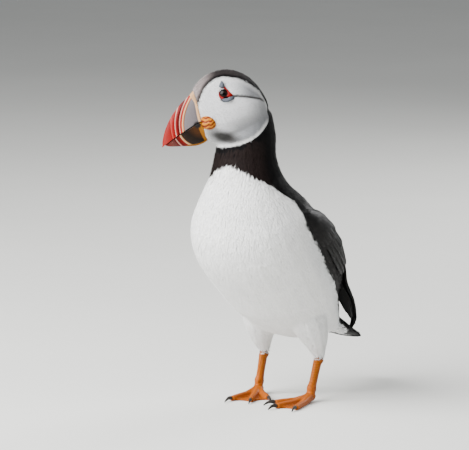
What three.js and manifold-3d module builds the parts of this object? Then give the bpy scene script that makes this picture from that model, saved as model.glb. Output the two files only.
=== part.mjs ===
// Atlantic puffin, life size, standing alert with its head turned to its right.
//
// Millimetres, +Z up. The breast faces -Y and the bird's left side is +X. Every place is written
// as at(forward, height, side): ahead of the heels, above the ground, and out to the bird's left.
import * as THREE from 'three';
import { mergeVertices } from 'three/addons/utils/BufferGeometryUtils.js';
import Module from 'manifold-3d';

const wasm = await Module();
wasm.setup();

// ---- Driving dimensions -------------------------------------------------------------------

const GAP = 0.3; // clear space between neighbouring pieces
const DEGREE = Math.PI / 180;
const SIDES = [['left', 1], ['right', -1]];

const HEAD = {
  forward: 64,
  height: 237, // of the eyes
  side: -12.6,
  turn: -50 * DEGREE, // to the bird's right
  nod: -15 * DEGREE, // the skull's long axis dips towards the bill
};

// From inside the skull down the neck, through the trunk and out to the root of the tail.
// wide is half the width; belly and back are the radii in front of and behind the spine.
const BODY = [
  { name: 'skull cap', forward: 52, height: 231, wide: 8, belly: 8, back: 8 },
  { name: 'skull', forward: 52, height: 221, wide: 19, belly: 16, back: 20 },
  { name: 'nape', forward: 52.5, height: 206, wide: 22.5, belly: 20, back: 22.5 },
  { name: 'neck', forward: 52.5, height: 190, wide: 23, belly: 21, back: 23 },
  { name: 'collar', forward: 51.5, height: 174, wide: 27.5, belly: 25, back: 26 },
  { name: 'neck root', forward: 49, height: 160, wide: 37, belly: 35, back: 28.5 },
  { name: 'shoulder', forward: 44, height: 147, wide: 46, belly: 45, back: 34 },
  { name: 'breast', forward: 36, height: 131, wide: 50, belly: 48.5, back: 41 },
  { name: 'trunk', forward: 21, height: 111, wide: 48.5, belly: 43.5, back: 45.5 },
  { name: 'belly', forward: 4, height: 91, wide: 45, belly: 38.5, back: 46 },
  { name: 'loin', forward: -14, height: 74, wide: 37.5, belly: 31, back: 38.5 },
  { name: 'vent', forward: -35, height: 61, wide: 27, belly: 20.5, back: 27 },
  { name: 'rump', forward: -53, height: 52, wide: 17, belly: 10, back: 12 },
  { name: 'tail root', forward: -64, height: 47.5, wide: 9, belly: 4, back: 5 },
];

const PARTINGS = { collar: 4.6, rump: 11.9 }; // where the neck and the tail meet the trunk, in stations

const TAIL = [
  { name: 'root', forward: -48, height: 55, wide: 15, belly: 9, back: 9.5 },
  { name: 'coverts', forward: -66, height: 47.5, wide: 16, belly: 5.6, back: 6.4 },
  { name: 'fan', forward: -82, height: 41, wide: 17, belly: 2.4, back: 2.6 },
  { name: 'end', forward: -93, height: 36.4, wide: 14.5, belly: 1.2, back: 1.2 },
  { name: 'tip', forward: -98, height: 34.4, wide: 7, belly: 0.8, back: 0.8 },
];

// Along the skull, from the nape to the root of the bill. top and chin are heights over the eyes
// in the nodding frame.
const SKULL = [
  { along: -30, top: -14, chin: -20, wide: 5 },
  { along: -27.6, top: -5, chin: -26, wide: 12.5 },
  { along: -21.4, top: 6, chin: -33.4, wide: 18.6 },
  { along: -13, top: 12.8, chin: -37.4, wide: 21.2 },
  { along: -3, top: 16, chin: -39.2, wide: 21.4 },
  { along: 6, top: 15.6, chin: -39.2, wide: 19.4 },
  { along: 13, top: 13.2, chin: -37.6, wide: 15.8 },
  { along: 18, top: 10, chin: -34.8, wide: 12 },
  { along: 21, top: 7.2, chin: -31.4, wide: 9.2 },
];
const BROW_TAPER = 0.15; // how much narrower the crown is than the cheeks
const HEAD_PARTING = { throat: -40, forward: 0.34, up: 0.94 }; // the plane between head and neck

// The bill in the head's own frame, as [ahead of the eyes, above the eyes].
const CULMEN = [[19.4, 3], [24, -2.5], [31, -9.6], [37.4, -18.4], [41.8, -27.9], [43.8, -36], [43.9, -40.6]];
const UPPER_EDGE = [
  [12.8, -19.6], [19.8, -23.2], [27.2, -28], [35.6, -33.8], [40.6, -37.8], [42.8, -39.4],
  [43.6, -40.4],
];
const LOWER_EDGE = [[11.8, -20.2], [19.6, -24], [27, -28.8], [35.4, -34.4], [40, -38], [41.6, -39.2]];
const KEEL = [[8.5, -33.8], [12.4, -37.4], [19, -39.9], [29, -40.3], [38, -40.4], [41.5, -39.7]];
const BILL_WIDE = { root: 7.6, tip: 1.5, ridge: 0.36, keel: 0.5 };

const EYE = { forward: 0.9, height: 0.3, radius: 4.4, sunk: 3.2 };
const ROSETTE = { forward: 11.4, height: -21.8, long: 6, high: 5, thick: 3.6, tilt: -28 * DEGREE };
const BROW_PLATE = { forward: 1.7, height: 5.6, long: 1.9, high: 2.9, thick: 2, tilt: -8 * DEGREE };
const CHEEK_PLATE = { forward: -1.7, height: -4.3, long: 4.3, high: 1.4, thick: 2, tilt: -10 * DEGREE };

// The folded wing on the body: along counts the BODY stations, round is the angle from the belly
// to the wing's middle line and span is half the angle that it covers.
const WING = [
  { along: 6.0, round: 100, span: 8, thick: 2 },
  { along: 6.5, round: 108, span: 19, thick: 4 },
  { along: 7.5, round: 120, span: 28, thick: 6 },
  { along: 8.6, round: 129, span: 34, thick: 8 },
  { along: 9.6, round: 136, span: 34, thick: 8.6 },
  { along: 10.5, round: 143, span: 29, thick: 6 },
  { along: 11.2, round: 148, span: 20, thick: 3 },
];
const WING_SUNK = 6; // how deep its inner face starts, under the body's surface
// The primaries, which run on from the wing clear of the rump.
const PRIMARIES = [
  { forward: -20, height: 103, side: 25, across: 18, thick: 4 },
  { forward: -39, height: 91, side: 22.5, across: 19, thick: 4.6 },
  { forward: -56, height: 77, side: 18, across: 16.5, thick: 4 },
  { forward: -72, height: 63.5, side: 13, across: 11, thick: 2.9 },
  { forward: -88, height: 50, side: 8, across: 5, thick: 1.8 },
  { forward: -94, height: 46.2, side: 6.4, across: 1.4, thick: 0.9 },
];
const PRIMARIES_FACE = [0.55, -0.38, 0.74]; // out, ahead and up
const BLADE_ARCH = 0.7; // how far its edges curl under, in thicknesses
const BLADE_UNDER = 0.6; // its inner bulge, in thicknesses

const LEG = { heel: 34, ankle: 9.6, flat: 0.8 }; // heights of heel joint and toes' knuckle
// Places are [forward, side]; turn is the foot's own heading, to the left of straight ahead.
const LEGS = [
  { name: 'left', sign: 1, heel: [-10, 26], foot: [2, 26], turn: -7 * DEGREE },
  { name: 'right', sign: -1, heel: [-12, -24], foot: [-7, -26], turn: 22 * DEGREE },
];
// Toes from the inside out. The angle is from the foot's own heading, positive outwards.
const TOES = [
  { name: 'inner', angle: -25 * DEGREE, length: 29 },
  { name: 'middle', angle: -2 * DEGREE, length: 38 },
  { name: 'outer', angle: 22 * DEGREE, length: 37 },
];
const TOE = { end: 2.3, web: 1.3, claw: 9.5, scallop: 0.86, webReach: 0.97 };
const HUB = { height: 4.6, radius: 4.3 }; // the knuckle where the toes meet
// Places on the thigh over, behind and inside the heel joint.
const THIGH = [
  { up: 40, back: 12, inward: 9, radius: 15 },
  { up: 27, back: 9, inward: 3.5, radius: 15 },
  { up: 13, back: 4.5, inward: 0.5, radius: 10.5 },
  { up: 3, back: 1, inward: 0, radius: 6 },
  { up: -1.5, back: -0.4, inward: 0, radius: 4.4 },
];
const CUFF = { wide: 40, under: 1.5 }; // room round the thigh's lower end
// Shares of the way from the heel joint to the knuckle.
const SHANK = [
  { share: -0.16, radius: 4 },
  { share: 0.02, radius: 4.6 },
  { share: 0.25, radius: 3.7 },
  { share: 0.65, radius: 3.5 },
  { share: 0.85, radius: 4 },
  { share: 1, radius: 4.1 },
];
const SHANK_SUNK = 4; // how far the shank's line runs on under the knuckle's top
// Shares of each toe's length.
const TOE_LINE = [
  { share: 0.16, height: 3.4, radius: 3.1 },
  { share: 0.42, height: 2.1, radius: 2.7 },
  { share: 0.7, height: 2.1, radius: 2.5 },
  { share: 1, height: 1.9, radius: 2.3 },
];
const TOE_ROOT = { back: 1.5, radius: 3.4 };
// Shares of each claw's length.
const CLAW_LINE = [
  { share: 0, height: 2.2, radius: 1.9 },
  { share: 0.3, height: 2.9, radius: 1.6 },
  { share: 0.65, height: 2.3, radius: 1.15 },
  { share: 1, height: 0.5, radius: 0.45 },
];
const CLAW_FLAT = 0.75;

// Sections along each shape and points round it.
const SECTIONS = {
  body: [26, 24],
  tail: [6, 14],
  skull: [13, 20],
  bill: [11, 5],
  shell: [10, 4],
  blade: [7, 3],
  limb: [8, 12],
  toe: [6, 8],
  claw: [5, 6],
  eye: [14, 8],
  bead: [10, 6],
  hub: [8, 6],
};
const FAR = 600; // wider than the whole bird

const FINISH = {
  white: { color: 0xe9e9e6, roughness: 0.85, metalness: 0 },
  face: { color: 0xcfcdca, roughness: 0.85, metalness: 0 },
  black: { color: 0x17161a, roughness: 0.7, metalness: 0 },
  orange: { color: 0xf07a12, roughness: 0.5, metalness: 0 },
  horn: { color: 0xe23b1e, roughness: 0.35, metalness: 0 },
  rosette: { color: 0xf2a20c, roughness: 0.5, metalness: 0 },
  plate: { color: 0x5c626b, roughness: 0.4, metalness: 0 },
  claw: { color: 0x1b1815, roughness: 0.35, metalness: 0 },
  eye: { color: 0x0b0a0a, roughness: 0.05, metalness: 0 },
};

// ---- Shapes ---------------------------------------------------------------------------------

function at(forward, height, side = 0) {
  return new THREE.Vector3(side, -forward, height);
}

// A closed surface through rings of equal point counts, with a fan at either end.
function loft(rings) {
  const count = rings[0].length;
  const points = rings.flat();
  const faces = [];
  for (let i = 0; i + 1 < rings.length; i++) {
    for (let j = 0; j < count; j++) {
      const a = i * count + j;
      const b = i * count + ((j + 1) % count);
      faces.push(a, b, b + count, a, b + count, a + count);
    }
  }
  for (const [ring, turned] of [[0, true], [rings.length - 1, false]]) {
    const middle = new THREE.Vector3();
    rings[ring].forEach((point) => middle.addScaledVector(point, 1 / count));
    const hub = points.push(middle) - 1;
    for (let j = 0; j < count; j++) {
      const a = ring * count + j;
      const b = ring * count + ((j + 1) % count);
      faces.push(...(turned ? [b, a, hub] : [a, b, hub]));
    }
  }
  const geometry = new THREE.BufferGeometry().setFromPoints(points);
  geometry.setIndex(faces);
  return geometry;
}

// A solid from a closed geometry, whichever way its faces wind.
function solid(geometry) {
  const bare = geometry.clone();
  bare.deleteAttribute('normal');
  bare.deleteAttribute('uv');
  const merged = mergeVertices(bare, 1e-4);
  const triVerts = new Uint32Array(merged.index.array);
  const made = () => new wasm.Manifold(new wasm.Mesh({
    numProp: 3,
    vertProperties: merged.attributes.position.array,
    triVerts,
  }));
  const first = made();
  if (first.volume() > 0) return first;
  for (let i = 0; i < triVerts.length; i += 3) {
    [triVerts[i + 1], triVerts[i + 2]] = [triVerts[i + 2], triVerts[i + 1]];
  }
  return made();
}

function placed(geometry, matrix) {
  return solid(geometry.clone().applyMatrix4(matrix));
}

function geometryOf(made) {
  const { vertProperties, triVerts, numProp } = made.getMesh();
  const position = new THREE.BufferAttribute(new Float32Array(vertProperties), numProp);
  return new THREE.BufferGeometry().setAttribute('position', position)
    .setIndex(new THREE.BufferAttribute(triVerts, 1));
}

// A point on a rounded oval: angle 0 is along first, a quarter turn is along second.
function oval(angle, fullness = 2.08) {
  const [c, s] = [Math.cos(angle), Math.sin(angle)];
  const reach = (Math.abs(c) ** fullness + Math.abs(s) ** fullness) ** (-1 / fullness);
  return [c * reach, s * reach];
}

function through(points) {
  return new THREE.CatmullRomCurve3(points, false, 'centripetal');
}

// The body at a place along its stations: its spine, its axes and its three radii.
function bodyFrame(stations, along) {
  const share = THREE.MathUtils.clamp(along / (stations.length - 1), 0, 1);
  const spine = through(stations.map((s) => at(s.forward, s.height)));
  const sizes = through(stations.map((s) => new THREE.Vector3(s.wide, s.belly, s.back)));
  const centre = spine.getPoint(share);
  const heading = spine.getTangent(share);
  const left = new THREE.Vector3(1, 0, 0);
  const front = new THREE.Vector3().crossVectors(heading, left);
  const [wide, belly, back] = sizes.getPoint(share).toArray();
  return { centre, heading, left, front, wide, belly, back };
}

function bodyPoint(frame, angle, grow = 0) {
  const [c, s] = oval(angle);
  return frame.centre.clone()
    .addScaledVector(frame.front, c * ((c > 0 ? frame.belly : frame.back) + grow))
    .addScaledVector(frame.left, s * (frame.wide + grow));
}

function bodyLoft(stations, [steps, around], grow = 0) {
  const rings = [];
  for (let i = 0; i <= steps; i++) {
    const frame = bodyFrame(stations, (i / steps) * (stations.length - 1));
    const angles = Array.from({ length: around }, (_, j) => (2 * Math.PI * j) / around);
    rings.push(angles.map((angle) => bodyPoint(frame, angle, grow)));
  }
  return solid(loft(rings));
}

// ---- The head -------------------------------------------------------------------------------

const headPlace = new THREE.Matrix4()
  .setPosition(at(HEAD.forward, HEAD.height, HEAD.side))
  .multiply(new THREE.Matrix4().makeRotationZ(HEAD.turn));

function skull() {
  const stations = through(SKULL.map((s) => new THREE.Vector3(s.top, s.chin, s.wide)));
  const places = through(SKULL.map((s) => new THREE.Vector3(s.along, 0, 0)));
  const [steps, around] = SECTIONS.skull;
  const rings = [];
  for (let i = 0; i <= steps; i++) {
    const [top, chin, wide] = stations.getPoint(i / steps).toArray();
    const along = places.getPoint(i / steps).x;
    rings.push(Array.from({ length: around }, (_, j) => {
      const [c, s] = oval((2 * Math.PI * j) / around, 2.1);
      const height = (top + chin) / 2 - (c * (top - chin)) / 2;
      return at(along, height, s * wide * (1 + BROW_TAPER * c));
    }));
  }
  const nod = new THREE.Matrix4().makeRotationX(-HEAD.nod);
  return placed(loft(rings), new THREE.Matrix4().multiplyMatrices(headPlace, nod));
}

// One half of the bill: sections from the cutting edge to the ridge (or to the keel).
function mandible(edge, ridge, ridgeWide, grow = 0) {
  const flat = (list) => through(list.map(([f, h]) => at(f, h)));
  const [edges, ridges] = [flat(edge), flat(ridge)];
  const [steps, rise] = SECTIONS.bill;
  const rings = [];
  for (let i = 0; i <= steps; i++) {
    const share = i / steps;
    const [low, high] = [edges.getPoint(share), ridges.getPoint(share)];
    const up = high.clone().sub(low).normalize();
    low.addScaledVector(up, -grow);
    high.addScaledVector(up, grow);
    const root = THREE.MathUtils.lerp(BILL_WIDE.root, BILL_WIDE.tip, share ** 0.9) + grow;
    const half = [];
    for (let k = 0; k <= rise; k++) {
      const v = k / rise;
      const round = Math.sqrt(Math.max(0, 1 - v ** 6));
      const wide = root * THREE.MathUtils.lerp(1, ridgeWide, v) * round;
      half.push({ point: low.clone().lerp(high, v), wide });
    }
    const left = half.map(({ point, wide }) => point.clone().setX(wide));
    const right = half.slice(0, -1).reverse().map(({ point, wide }) => point.clone().setX(-wide));
    rings.push([...left, ...right]);
  }
  return placed(loft(rings), headPlace);
}

// The place on the side of the head at a point ahead of and above the eyes, and the way it faces.
function headSide({ forward = 0, height = 0 }, sign) {
  const inward = new THREE.Vector3(-sign, 0, 0).transformDirection(headPlace);
  const ray = new THREE.Raycaster(at(forward, height, sign * 60).applyMatrix4(headPlace), inward);
  const [hit] = ray.intersectObject(new THREE.Mesh(geometryOf(skullSolid)));
  return { point: hit.point, out: hit.face.normal };
}

// A flattened bead that lies on the side of the head.
function bead(spec, sign, grow = 0) {
  const { point, out } = headSide(spec, sign);
  const shape = new THREE.SphereGeometry(1, ...SECTIONS.bead).rotateZ(Math.PI / 2)
    .scale(spec.thick + grow, spec.long + grow, spec.high + grow)
    .rotateX(-spec.tilt);
  const ahead = new THREE.Vector3(0, 1, 0).transformDirection(headPlace);
  const up = new THREE.Vector3().crossVectors(out, ahead).normalize();
  const turn = new THREE.Matrix4().makeBasis(out, new THREE.Vector3().crossVectors(up, out), up);
  return placed(shape, turn.setPosition(point));
}

function eyeball(sign, grow = 0) {
  const { point, out } = headSide(EYE, sign);
  const centre = point.clone().addScaledVector(out, -EYE.sunk);
  const ball = new THREE.SphereGeometry(EYE.radius + grow, ...SECTIONS.eye);
  return solid(ball.translate(...centre.toArray()));
}

// ---- Wings and legs -------------------------------------------------------------------------

// A lens from edge to edge: places across it run over the outer face and back under the inner one.
function lensRing(half, spot, above, below) {
  const swell = (v) => Math.max(0, 1 - v * v) ** 0.75;
  const outer = Array.from({ length: half * 2 + 1 }, (_, j) => j / half - 1);
  const inner = outer.slice(1, -1).reverse();
  return [
    ...outer.map((v) => spot(v, above * swell(v))),
    ...inner.map((v) => spot(v, -below * swell(v))),
  ];
}

// The folded wing: a shell over the flank and the free blade of the primaries.
function wing(sign) {
  const mirrored = (ring) => ring.map((point) => point.setX(point.x * sign));
  const places = through(WING.map((s) => new THREE.Vector3(s.along, 0, 0)));
  const covers = through(WING.map((s) => new THREE.Vector3(s.round, s.span, s.thick)));
  const [shellSteps, shellHalf] = SECTIONS.shell;
  const shell = Array.from({ length: shellSteps + 1 }, (_, i) => {
    const share = i / shellSteps;
    const frame = bodyFrame(BODY, places.getPoint(share).x);
    const [round, span, thick] = covers.getPoint(share).toArray();
    const spot = (v, lift) => bodyPoint(frame, (round + v * span) * DEGREE, lift);
    return mirrored(lensRing(shellHalf, spot, thick, WING_SUNK));
  });

  const path = through(PRIMARIES.map((s) => at(s.forward, s.height, s.side)));
  const sizes = through(PRIMARIES.map((s) => new THREE.Vector3(s.across, s.thick, 0)));
  const [out, ahead, up] = PRIMARIES_FACE;
  const face = at(ahead, up, out).normalize();
  const [bladeSteps, bladeHalf] = SECTIONS.blade;
  const blade = Array.from({ length: bladeSteps + 1 }, (_, i) => {
    const share = i / bladeSteps;
    const [centre, heading] = [path.getPoint(share), path.getTangent(share)];
    const [across, thick] = sizes.getPoint(share).toArray();
    const over = new THREE.Vector3().crossVectors(heading, face).normalize();
    const lifted = new THREE.Vector3().crossVectors(over, heading);
    const spot = (v, lift) => centre.clone()
      .addScaledVector(over, v * across)
      .addScaledVector(lifted, lift - thick * BLADE_ARCH * v * v);
    return mirrored(lensRing(bladeHalf, spot, thick, thick * BLADE_UNDER));
  });
  return solid(loft(shell)).add(solid(loft(blade)));
}

// A round limb through stations of place and radius. flat squeezes it from side to side.
function limb(stations, [steps, around], flat = 1) {
  const path = through(stations.map((s) => s.point));
  const radii = through(stations.map((s) => new THREE.Vector3(s.radius, 0, 0)));
  const rings = [];
  for (let i = 0; i <= steps; i++) {
    const heading = path.getTangent(i / steps);
    const side = new THREE.Vector3(1, 0, 0).addScaledVector(heading, -heading.x).normalize();
    const front = new THREE.Vector3().crossVectors(heading, side);
    const radius = radii.getPoint(i / steps).x;
    rings.push(Array.from({ length: around }, (_, j) => {
      const angle = (2 * Math.PI * j) / around;
      return path.getPoint(i / steps)
        .addScaledVector(side, Math.cos(angle) * radius * flat)
        .addScaledVector(front, Math.sin(angle) * radius);
    }));
  }
  return solid(loft(rings));
}

// A level block wider than the bird, from one height to another.
function slab(low, high) {
  return solid(new THREE.BoxGeometry(FAR, FAR, high - low).translate(0, 0, (low + high) / 2));
}

function heelOf({ heel: [forward, side] }) {
  return at(forward, LEG.heel, side);
}

function footPlace({ foot: [forward, side], turn }) {
  const place = new THREE.Matrix4().setPosition(at(forward, 0, side));
  return place.multiply(new THREE.Matrix4().makeRotationZ(turn));
}

function thigh(leg) {
  const heel = heelOf(leg);
  return limb(THIGH.map(({ up, back, inward, radius }) => ({
    point: heel.clone().add(new THREE.Vector3(-leg.sign * inward, -back, up)), radius,
  })), SECTIONS.limb);
}

// The space round the thigh's lower end that keeps the shank clear of it.
function cuff(leg) {
  const { wide, under } = CUFF;
  const block = new THREE.BoxGeometry(wide, wide, wide).translate(0, 0, wide / 2 - under);
  return placed(block, new THREE.Matrix4().setPosition(heelOf(leg)));
}

function tarsus(leg) {
  const heel = heelOf(leg);
  const ankle = new THREE.Vector3(0, 0, LEG.ankle - SHANK_SUNK).applyMatrix4(footPlace(leg));
  const shank = limb(SHANK.map(({ share, radius }) => ({
    point: heel.clone().lerp(ankle, share), radius,
  })), SECTIONS.limb, LEG.flat);
  return shank.subtract(slab(-FAR, LEG.ankle));
}

function toeEnd(toe, sign, reach = 1) {
  const angle = toe.angle * sign;
  return new THREE.Vector3(Math.sin(angle), -Math.cos(angle), 0).multiplyScalar(toe.length * reach);
}

function webOutline(sign) {
  const outline = new THREE.Shape();
  outline.moveTo(0, 0);
  TOES.forEach((toe, i) => {
    const end = toeEnd(toe, sign, TOE.webReach);
    if (i === 0) {
      outline.lineTo(end.x, end.y);
      return;
    }
    const last = toeEnd(TOES[i - 1], sign, TOE.webReach);
    const dip = last.clone().add(end).multiplyScalar(0.5 * TOE.scallop);
    outline.quadraticCurveTo(dip.x, dip.y, end.x, end.y);
  });
  outline.lineTo(0, 0);
  return outline;
}

// Toes spread flat on the ground with a web between them, cut level underneath.
function foot(leg) {
  const root = { point: new THREE.Vector3(0, TOE_ROOT.back, HUB.height), radius: TOE_ROOT.radius };
  const toes = TOES.map((toe) => limb([root, ...TOE_LINE.map(({ share, height, radius }) => ({
    point: toeEnd(toe, leg.sign, share).setZ(height), radius,
  }))], SECTIONS.toe));
  const web = solid(new THREE.ExtrudeGeometry(webOutline(leg.sign), {
    depth: TOE.web, bevelEnabled: false, curveSegments: 6,
  }));
  const hub = new THREE.SphereGeometry(HUB.radius, ...SECTIONS.hub);
  const knob = solid(hub.translate(0, 0, HUB.height));
  const joined = toes.reduce((sum, toe) => sum.add(toe), web.add(knob));
  return joined.subtract(slab(-FAR, 0)).subtract(slab(LEG.ankle - GAP, FAR))
    .transform(footPlace(leg).toArray());
}

// A hooked claw that carries on from the toe's end and comes down to the ground.
function claw(leg, toe) {
  const heading = toeEnd(toe, leg.sign).normalize();
  const end = toeEnd(toe, leg.sign).addScaledVector(heading, TOE.end * 0.1 + GAP);
  const hook = limb(CLAW_LINE.map(({ share, height, radius }) => ({
    point: end.clone().addScaledVector(heading, share * TOE.claw).setZ(height), radius,
  })), SECTIONS.claw, CLAW_FLAT);
  return hook.subtract(slab(-FAR, 0)).transform(footPlace(leg).toArray());
}

// ---- Parting the whole body into its pieces ---------------------------------------------------

// A very large block that keeps what lies on the far side of a plane.
function beyond(point, normal) {
  const up = new THREE.Vector3(0, 0, 1);
  const turn = new THREE.Quaternion().setFromUnitVectors(up, normal.clone().normalize());
  const matrix = new THREE.Matrix4().makeRotationFromQuaternion(turn).setPosition(point);
  return slab(GAP / 2, FAR).transform(matrix.toArray());
}

function part(whole, point, normal) {
  return [whole.intersect(beyond(point, normal)), whole.intersect(beyond(point, normal.clone().negate()))];
}

const skullSolid = skull();
const group = new THREE.Group();

function add(name, made, finish) {
  const mesh = new THREE.Mesh(geometryOf(made), new THREE.MeshStandardMaterial(FINISH[finish]));
  mesh.name = name;
  group.add(mesh);
}

function build() {
  const column = bodyLoft(BODY, SECTIONS.body);
  const columnGrown = bodyLoft(BODY, SECTIONS.body, GAP);
  let whole = column.add(skullSolid);

  const bills = [
    ['upper_bill', (grow) => mandible(UPPER_EDGE, CULMEN, BILL_WIDE.ridge, grow)],
    ['lower_bill', (grow) => mandible(LOWER_EDGE, KEEL, BILL_WIDE.keel, grow)],
  ];
  const rosettesGrown = SIDES.map(([, sign]) => bead(ROSETTE, sign, GAP));
  for (const [name, make] of bills) {
    whole = whole.subtract(make(GAP));
    add(name, make(0).subtract(rosettesGrown[0]).subtract(rosettesGrown[1]), 'horn');
  }
  SIDES.forEach(([name, sign], i) => {
    whole = whole.subtract(eyeball(sign, GAP)).subtract(rosettesGrown[i]);
    add(`${name}_eye`, eyeball(sign), 'eye');
    add(`${name}_rosette`, bead(ROSETTE, sign), 'rosette');
    for (const [plate, spec] of [['brow_plate', BROW_PLATE], ['cheek_plate', CHEEK_PLATE]]) {
      whole = whole.subtract(bead(spec, sign, GAP));
      add(`${name}_${plate}`, bead(spec, sign).subtract(eyeball(sign, GAP)), 'plate');
    }
  });

  const throat = at(0, HEAD_PARTING.throat).applyMatrix4(headPlace);
  const headAxis = at(HEAD_PARTING.forward, HEAD_PARTING.up).transformDirection(headPlace);
  const [head, below] = part(whole, throat, headAxis);
  const collar = bodyFrame(BODY, PARTINGS.collar);
  const [neck, rest] = part(below, collar.centre, collar.heading.clone().negate());
  const rump = bodyFrame(BODY, PARTINGS.rump);
  const [trunk, stump] = part(rest, rump.centre, rump.heading.clone().negate());
  add('head', head, 'face');
  add('neck', neck, 'black');
  add('trunk', trunk, 'white');

  const tailBlock = bodyLoft(TAIL, SECTIONS.tail).add(stump);
  const tail = tailBlock.intersect(beyond(rump.centre, rump.heading));
  add('tail', tail, 'black');

  const tailGrown = bodyLoft(TAIL, SECTIONS.tail, GAP);
  const thighs = LEGS.map(thigh);
  for (const [name, sign] of SIDES) {
    add(`${name}_wing`, wing(sign).subtract(columnGrown).subtract(tailGrown), 'black');
  }
  LEGS.forEach((leg, i) => {
    add(`${leg.name}_thigh`, thighs[i].subtract(columnGrown), 'white');
    const shank = tarsus(leg).subtract(thighs[i].add(cuff(leg)));
    add(`${leg.name}_leg`, shank, 'orange');
    add(`${leg.name}_foot`, foot(leg), 'orange');
    TOES.forEach((toe) => add(`${leg.name}_${toe.name}_claw`, claw(leg, toe), 'claw'));
  });
}

build();

const box = new THREE.Box3().setFromObject(group);
const middle = box.getCenter(new THREE.Vector3());
group.position.set(-middle.x, -middle.y, -box.min.z);

export default group;
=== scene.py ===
"""Atlantic puffin, life size: skin, plumage, bill and feet built round the CAD frame.

All lengths are millimetres in the frame's axes (left +X, breast -Y, up +Z) until a mesh
is made, where they become metres. "Ahead" is -Y.
"""

import logging
import math
from collections.abc import Callable
from dataclasses import dataclass
from enum import Enum, IntEnum

import bpy
import numpy as np
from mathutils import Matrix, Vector
from mathutils.bvhtree import BVHTree


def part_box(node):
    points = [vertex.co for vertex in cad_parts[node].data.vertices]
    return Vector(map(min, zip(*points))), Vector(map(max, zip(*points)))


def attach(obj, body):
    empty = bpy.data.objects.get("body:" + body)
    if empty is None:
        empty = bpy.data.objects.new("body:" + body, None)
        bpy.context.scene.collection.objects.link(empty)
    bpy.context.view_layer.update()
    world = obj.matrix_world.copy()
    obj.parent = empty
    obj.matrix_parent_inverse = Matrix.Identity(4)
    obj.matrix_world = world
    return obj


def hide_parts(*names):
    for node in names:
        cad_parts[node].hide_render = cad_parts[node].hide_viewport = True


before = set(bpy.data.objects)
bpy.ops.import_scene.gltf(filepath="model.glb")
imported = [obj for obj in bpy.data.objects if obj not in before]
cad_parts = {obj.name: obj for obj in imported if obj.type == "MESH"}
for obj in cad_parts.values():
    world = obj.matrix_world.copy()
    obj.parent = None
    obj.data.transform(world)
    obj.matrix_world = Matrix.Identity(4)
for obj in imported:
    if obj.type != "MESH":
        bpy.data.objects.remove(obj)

logging.basicConfig(level=logging.INFO, format="%(message)s")
LOG = logging.getLogger("puffin")

MM = 0.001
SEED = 20
FLESH = ("head", "neck", "trunk", "tail", "left_wing", "right_wing", "left_thigh",
         "right_thigh", "left_leg", "right_leg", "left_foot", "right_foot")
SIDES = (("left", 1.0), ("right", -1.0))
FILLED = tuple(f"{side}_{kind}" for side, _ in SIDES
               for kind in ("eye", "rosette", "brow_plate", "cheek_plate"))

Array = np.ndarray
Chance = np.random.Generator
Piece = bpy.types.Object
Material = bpy.types.Material
Socket = bpy.types.NodeSocket
Colour = tuple[float, float, float]
Pair = tuple[Array, Array]
Triple = tuple[Array, Array, Array]
Fields = tuple[Array, Array, Array, Array]
Outline = tuple[tuple[float, float], ...]
PerPlace = Callable[[Array], Array] | None
Part = dict[str, Array]
Shafts = tuple[list[Pair], list[tuple]]
Input = Socket | float | Colour


# ---- Small helpers ----


def unit(vectors: Array) -> Array:
    """Each row at length one."""
    return vectors / np.maximum(np.linalg.norm(vectors, axis=-1, keepdims=True), 1e-9)


def rise(values: Array, low: float, high: float) -> Array:
    """A smooth step from 0 at low to 1 at high.

    Args:
        values: What is mapped.
        low: Where it is 0.
        high: Where it is 1.

    Returns:
        Numbers from 0 to 1.
    """
    share = np.clip((np.asarray(values, float) - low) / (high - low), 0, 1)
    return share * share * (3 - 2 * share)


def dot(a: Array, b: Array) -> Array:
    """Row by row dot product, kept as a column."""
    return (a * b).sum(-1, keepdims=True)


def flatten(vectors: Array, normals: Array) -> Array:
    """The part of each vector that lies in the surface, at length one."""
    return unit(vectors - normals * dot(vectors, normals))


def blend(a: Array, b: Array, share: Array) -> Array:
    """Mix of two colour or vector arrays by a share for each row."""
    return a + (b - a) * share[:, None]


def bulge(value: Array, at: float, half: float) -> Array:
    """A smooth bump of height one at a value."""
    return np.exp(-(((value - at) / half) ** 2))


def spans(p: Array, per: int) -> list[Array]:
    """Samples of a smooth line over the spans between the inner points of a row.

    Args:
        p: Corners of the line, with one more at each end.
        per: Samples for each span.

    Returns:
        The samples, in order.
    """
    return [0.5 * (2 * b + (c - a) * t + (2 * a - 5 * b + 4 * c - d) * t**2
                   + (3 * b - a - 3 * c + d) * t**3)
            for a, b, c, d in zip(p, p[1:], p[2:], p[3:]) for t in np.arange(per) / per]


def curve(points: tuple, per: int = 10) -> Array:
    """A smooth line through the points, with per samples for each span."""
    p = np.array(points, float)
    return np.array(spans(np.vstack([2 * p[0] - p[1], p, 2 * p[-1] - p[-2]]), per) + [p[-1]])


def loop_curve(points: tuple, per: int = 8) -> Array:
    """A smooth closed line through the points, with per samples for each span."""
    p = np.array(points, float)
    return np.array(spans(np.vstack([p[-1], p, p[:2]]), per))


def along_curve(line: Array, shares: Array) -> Array:
    """Points at shares of a line's length.

    Args:
        line: Rows of places.
        shares: Shares of the whole length.

    Returns:
        One place for each share.
    """
    steps = np.r_[0, np.cumsum(np.linalg.norm(np.diff(line, axis=0), axis=1))]
    steps /= steps[-1]
    return np.stack([np.interp(shares, steps, line[:, k]) for k in range(line.shape[1])], -1)


def edge_gap(points: Array, starts: Array, edges: Array) -> Array:
    """Distance from each flat point to the nearest of some straight edges.

    Args:
        points: Flat places.
        starts: First end of each edge.
        edges: Step from there to the second end.

    Returns:
        One distance for each place.
    """
    to = points[:, None, :] - starts[None]
    t = np.clip((to * edges).sum(-1) / (edges * edges).sum(-1), 0, 1)
    return np.linalg.norm(to - t[..., None] * edges, axis=-1).min(1)


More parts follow.
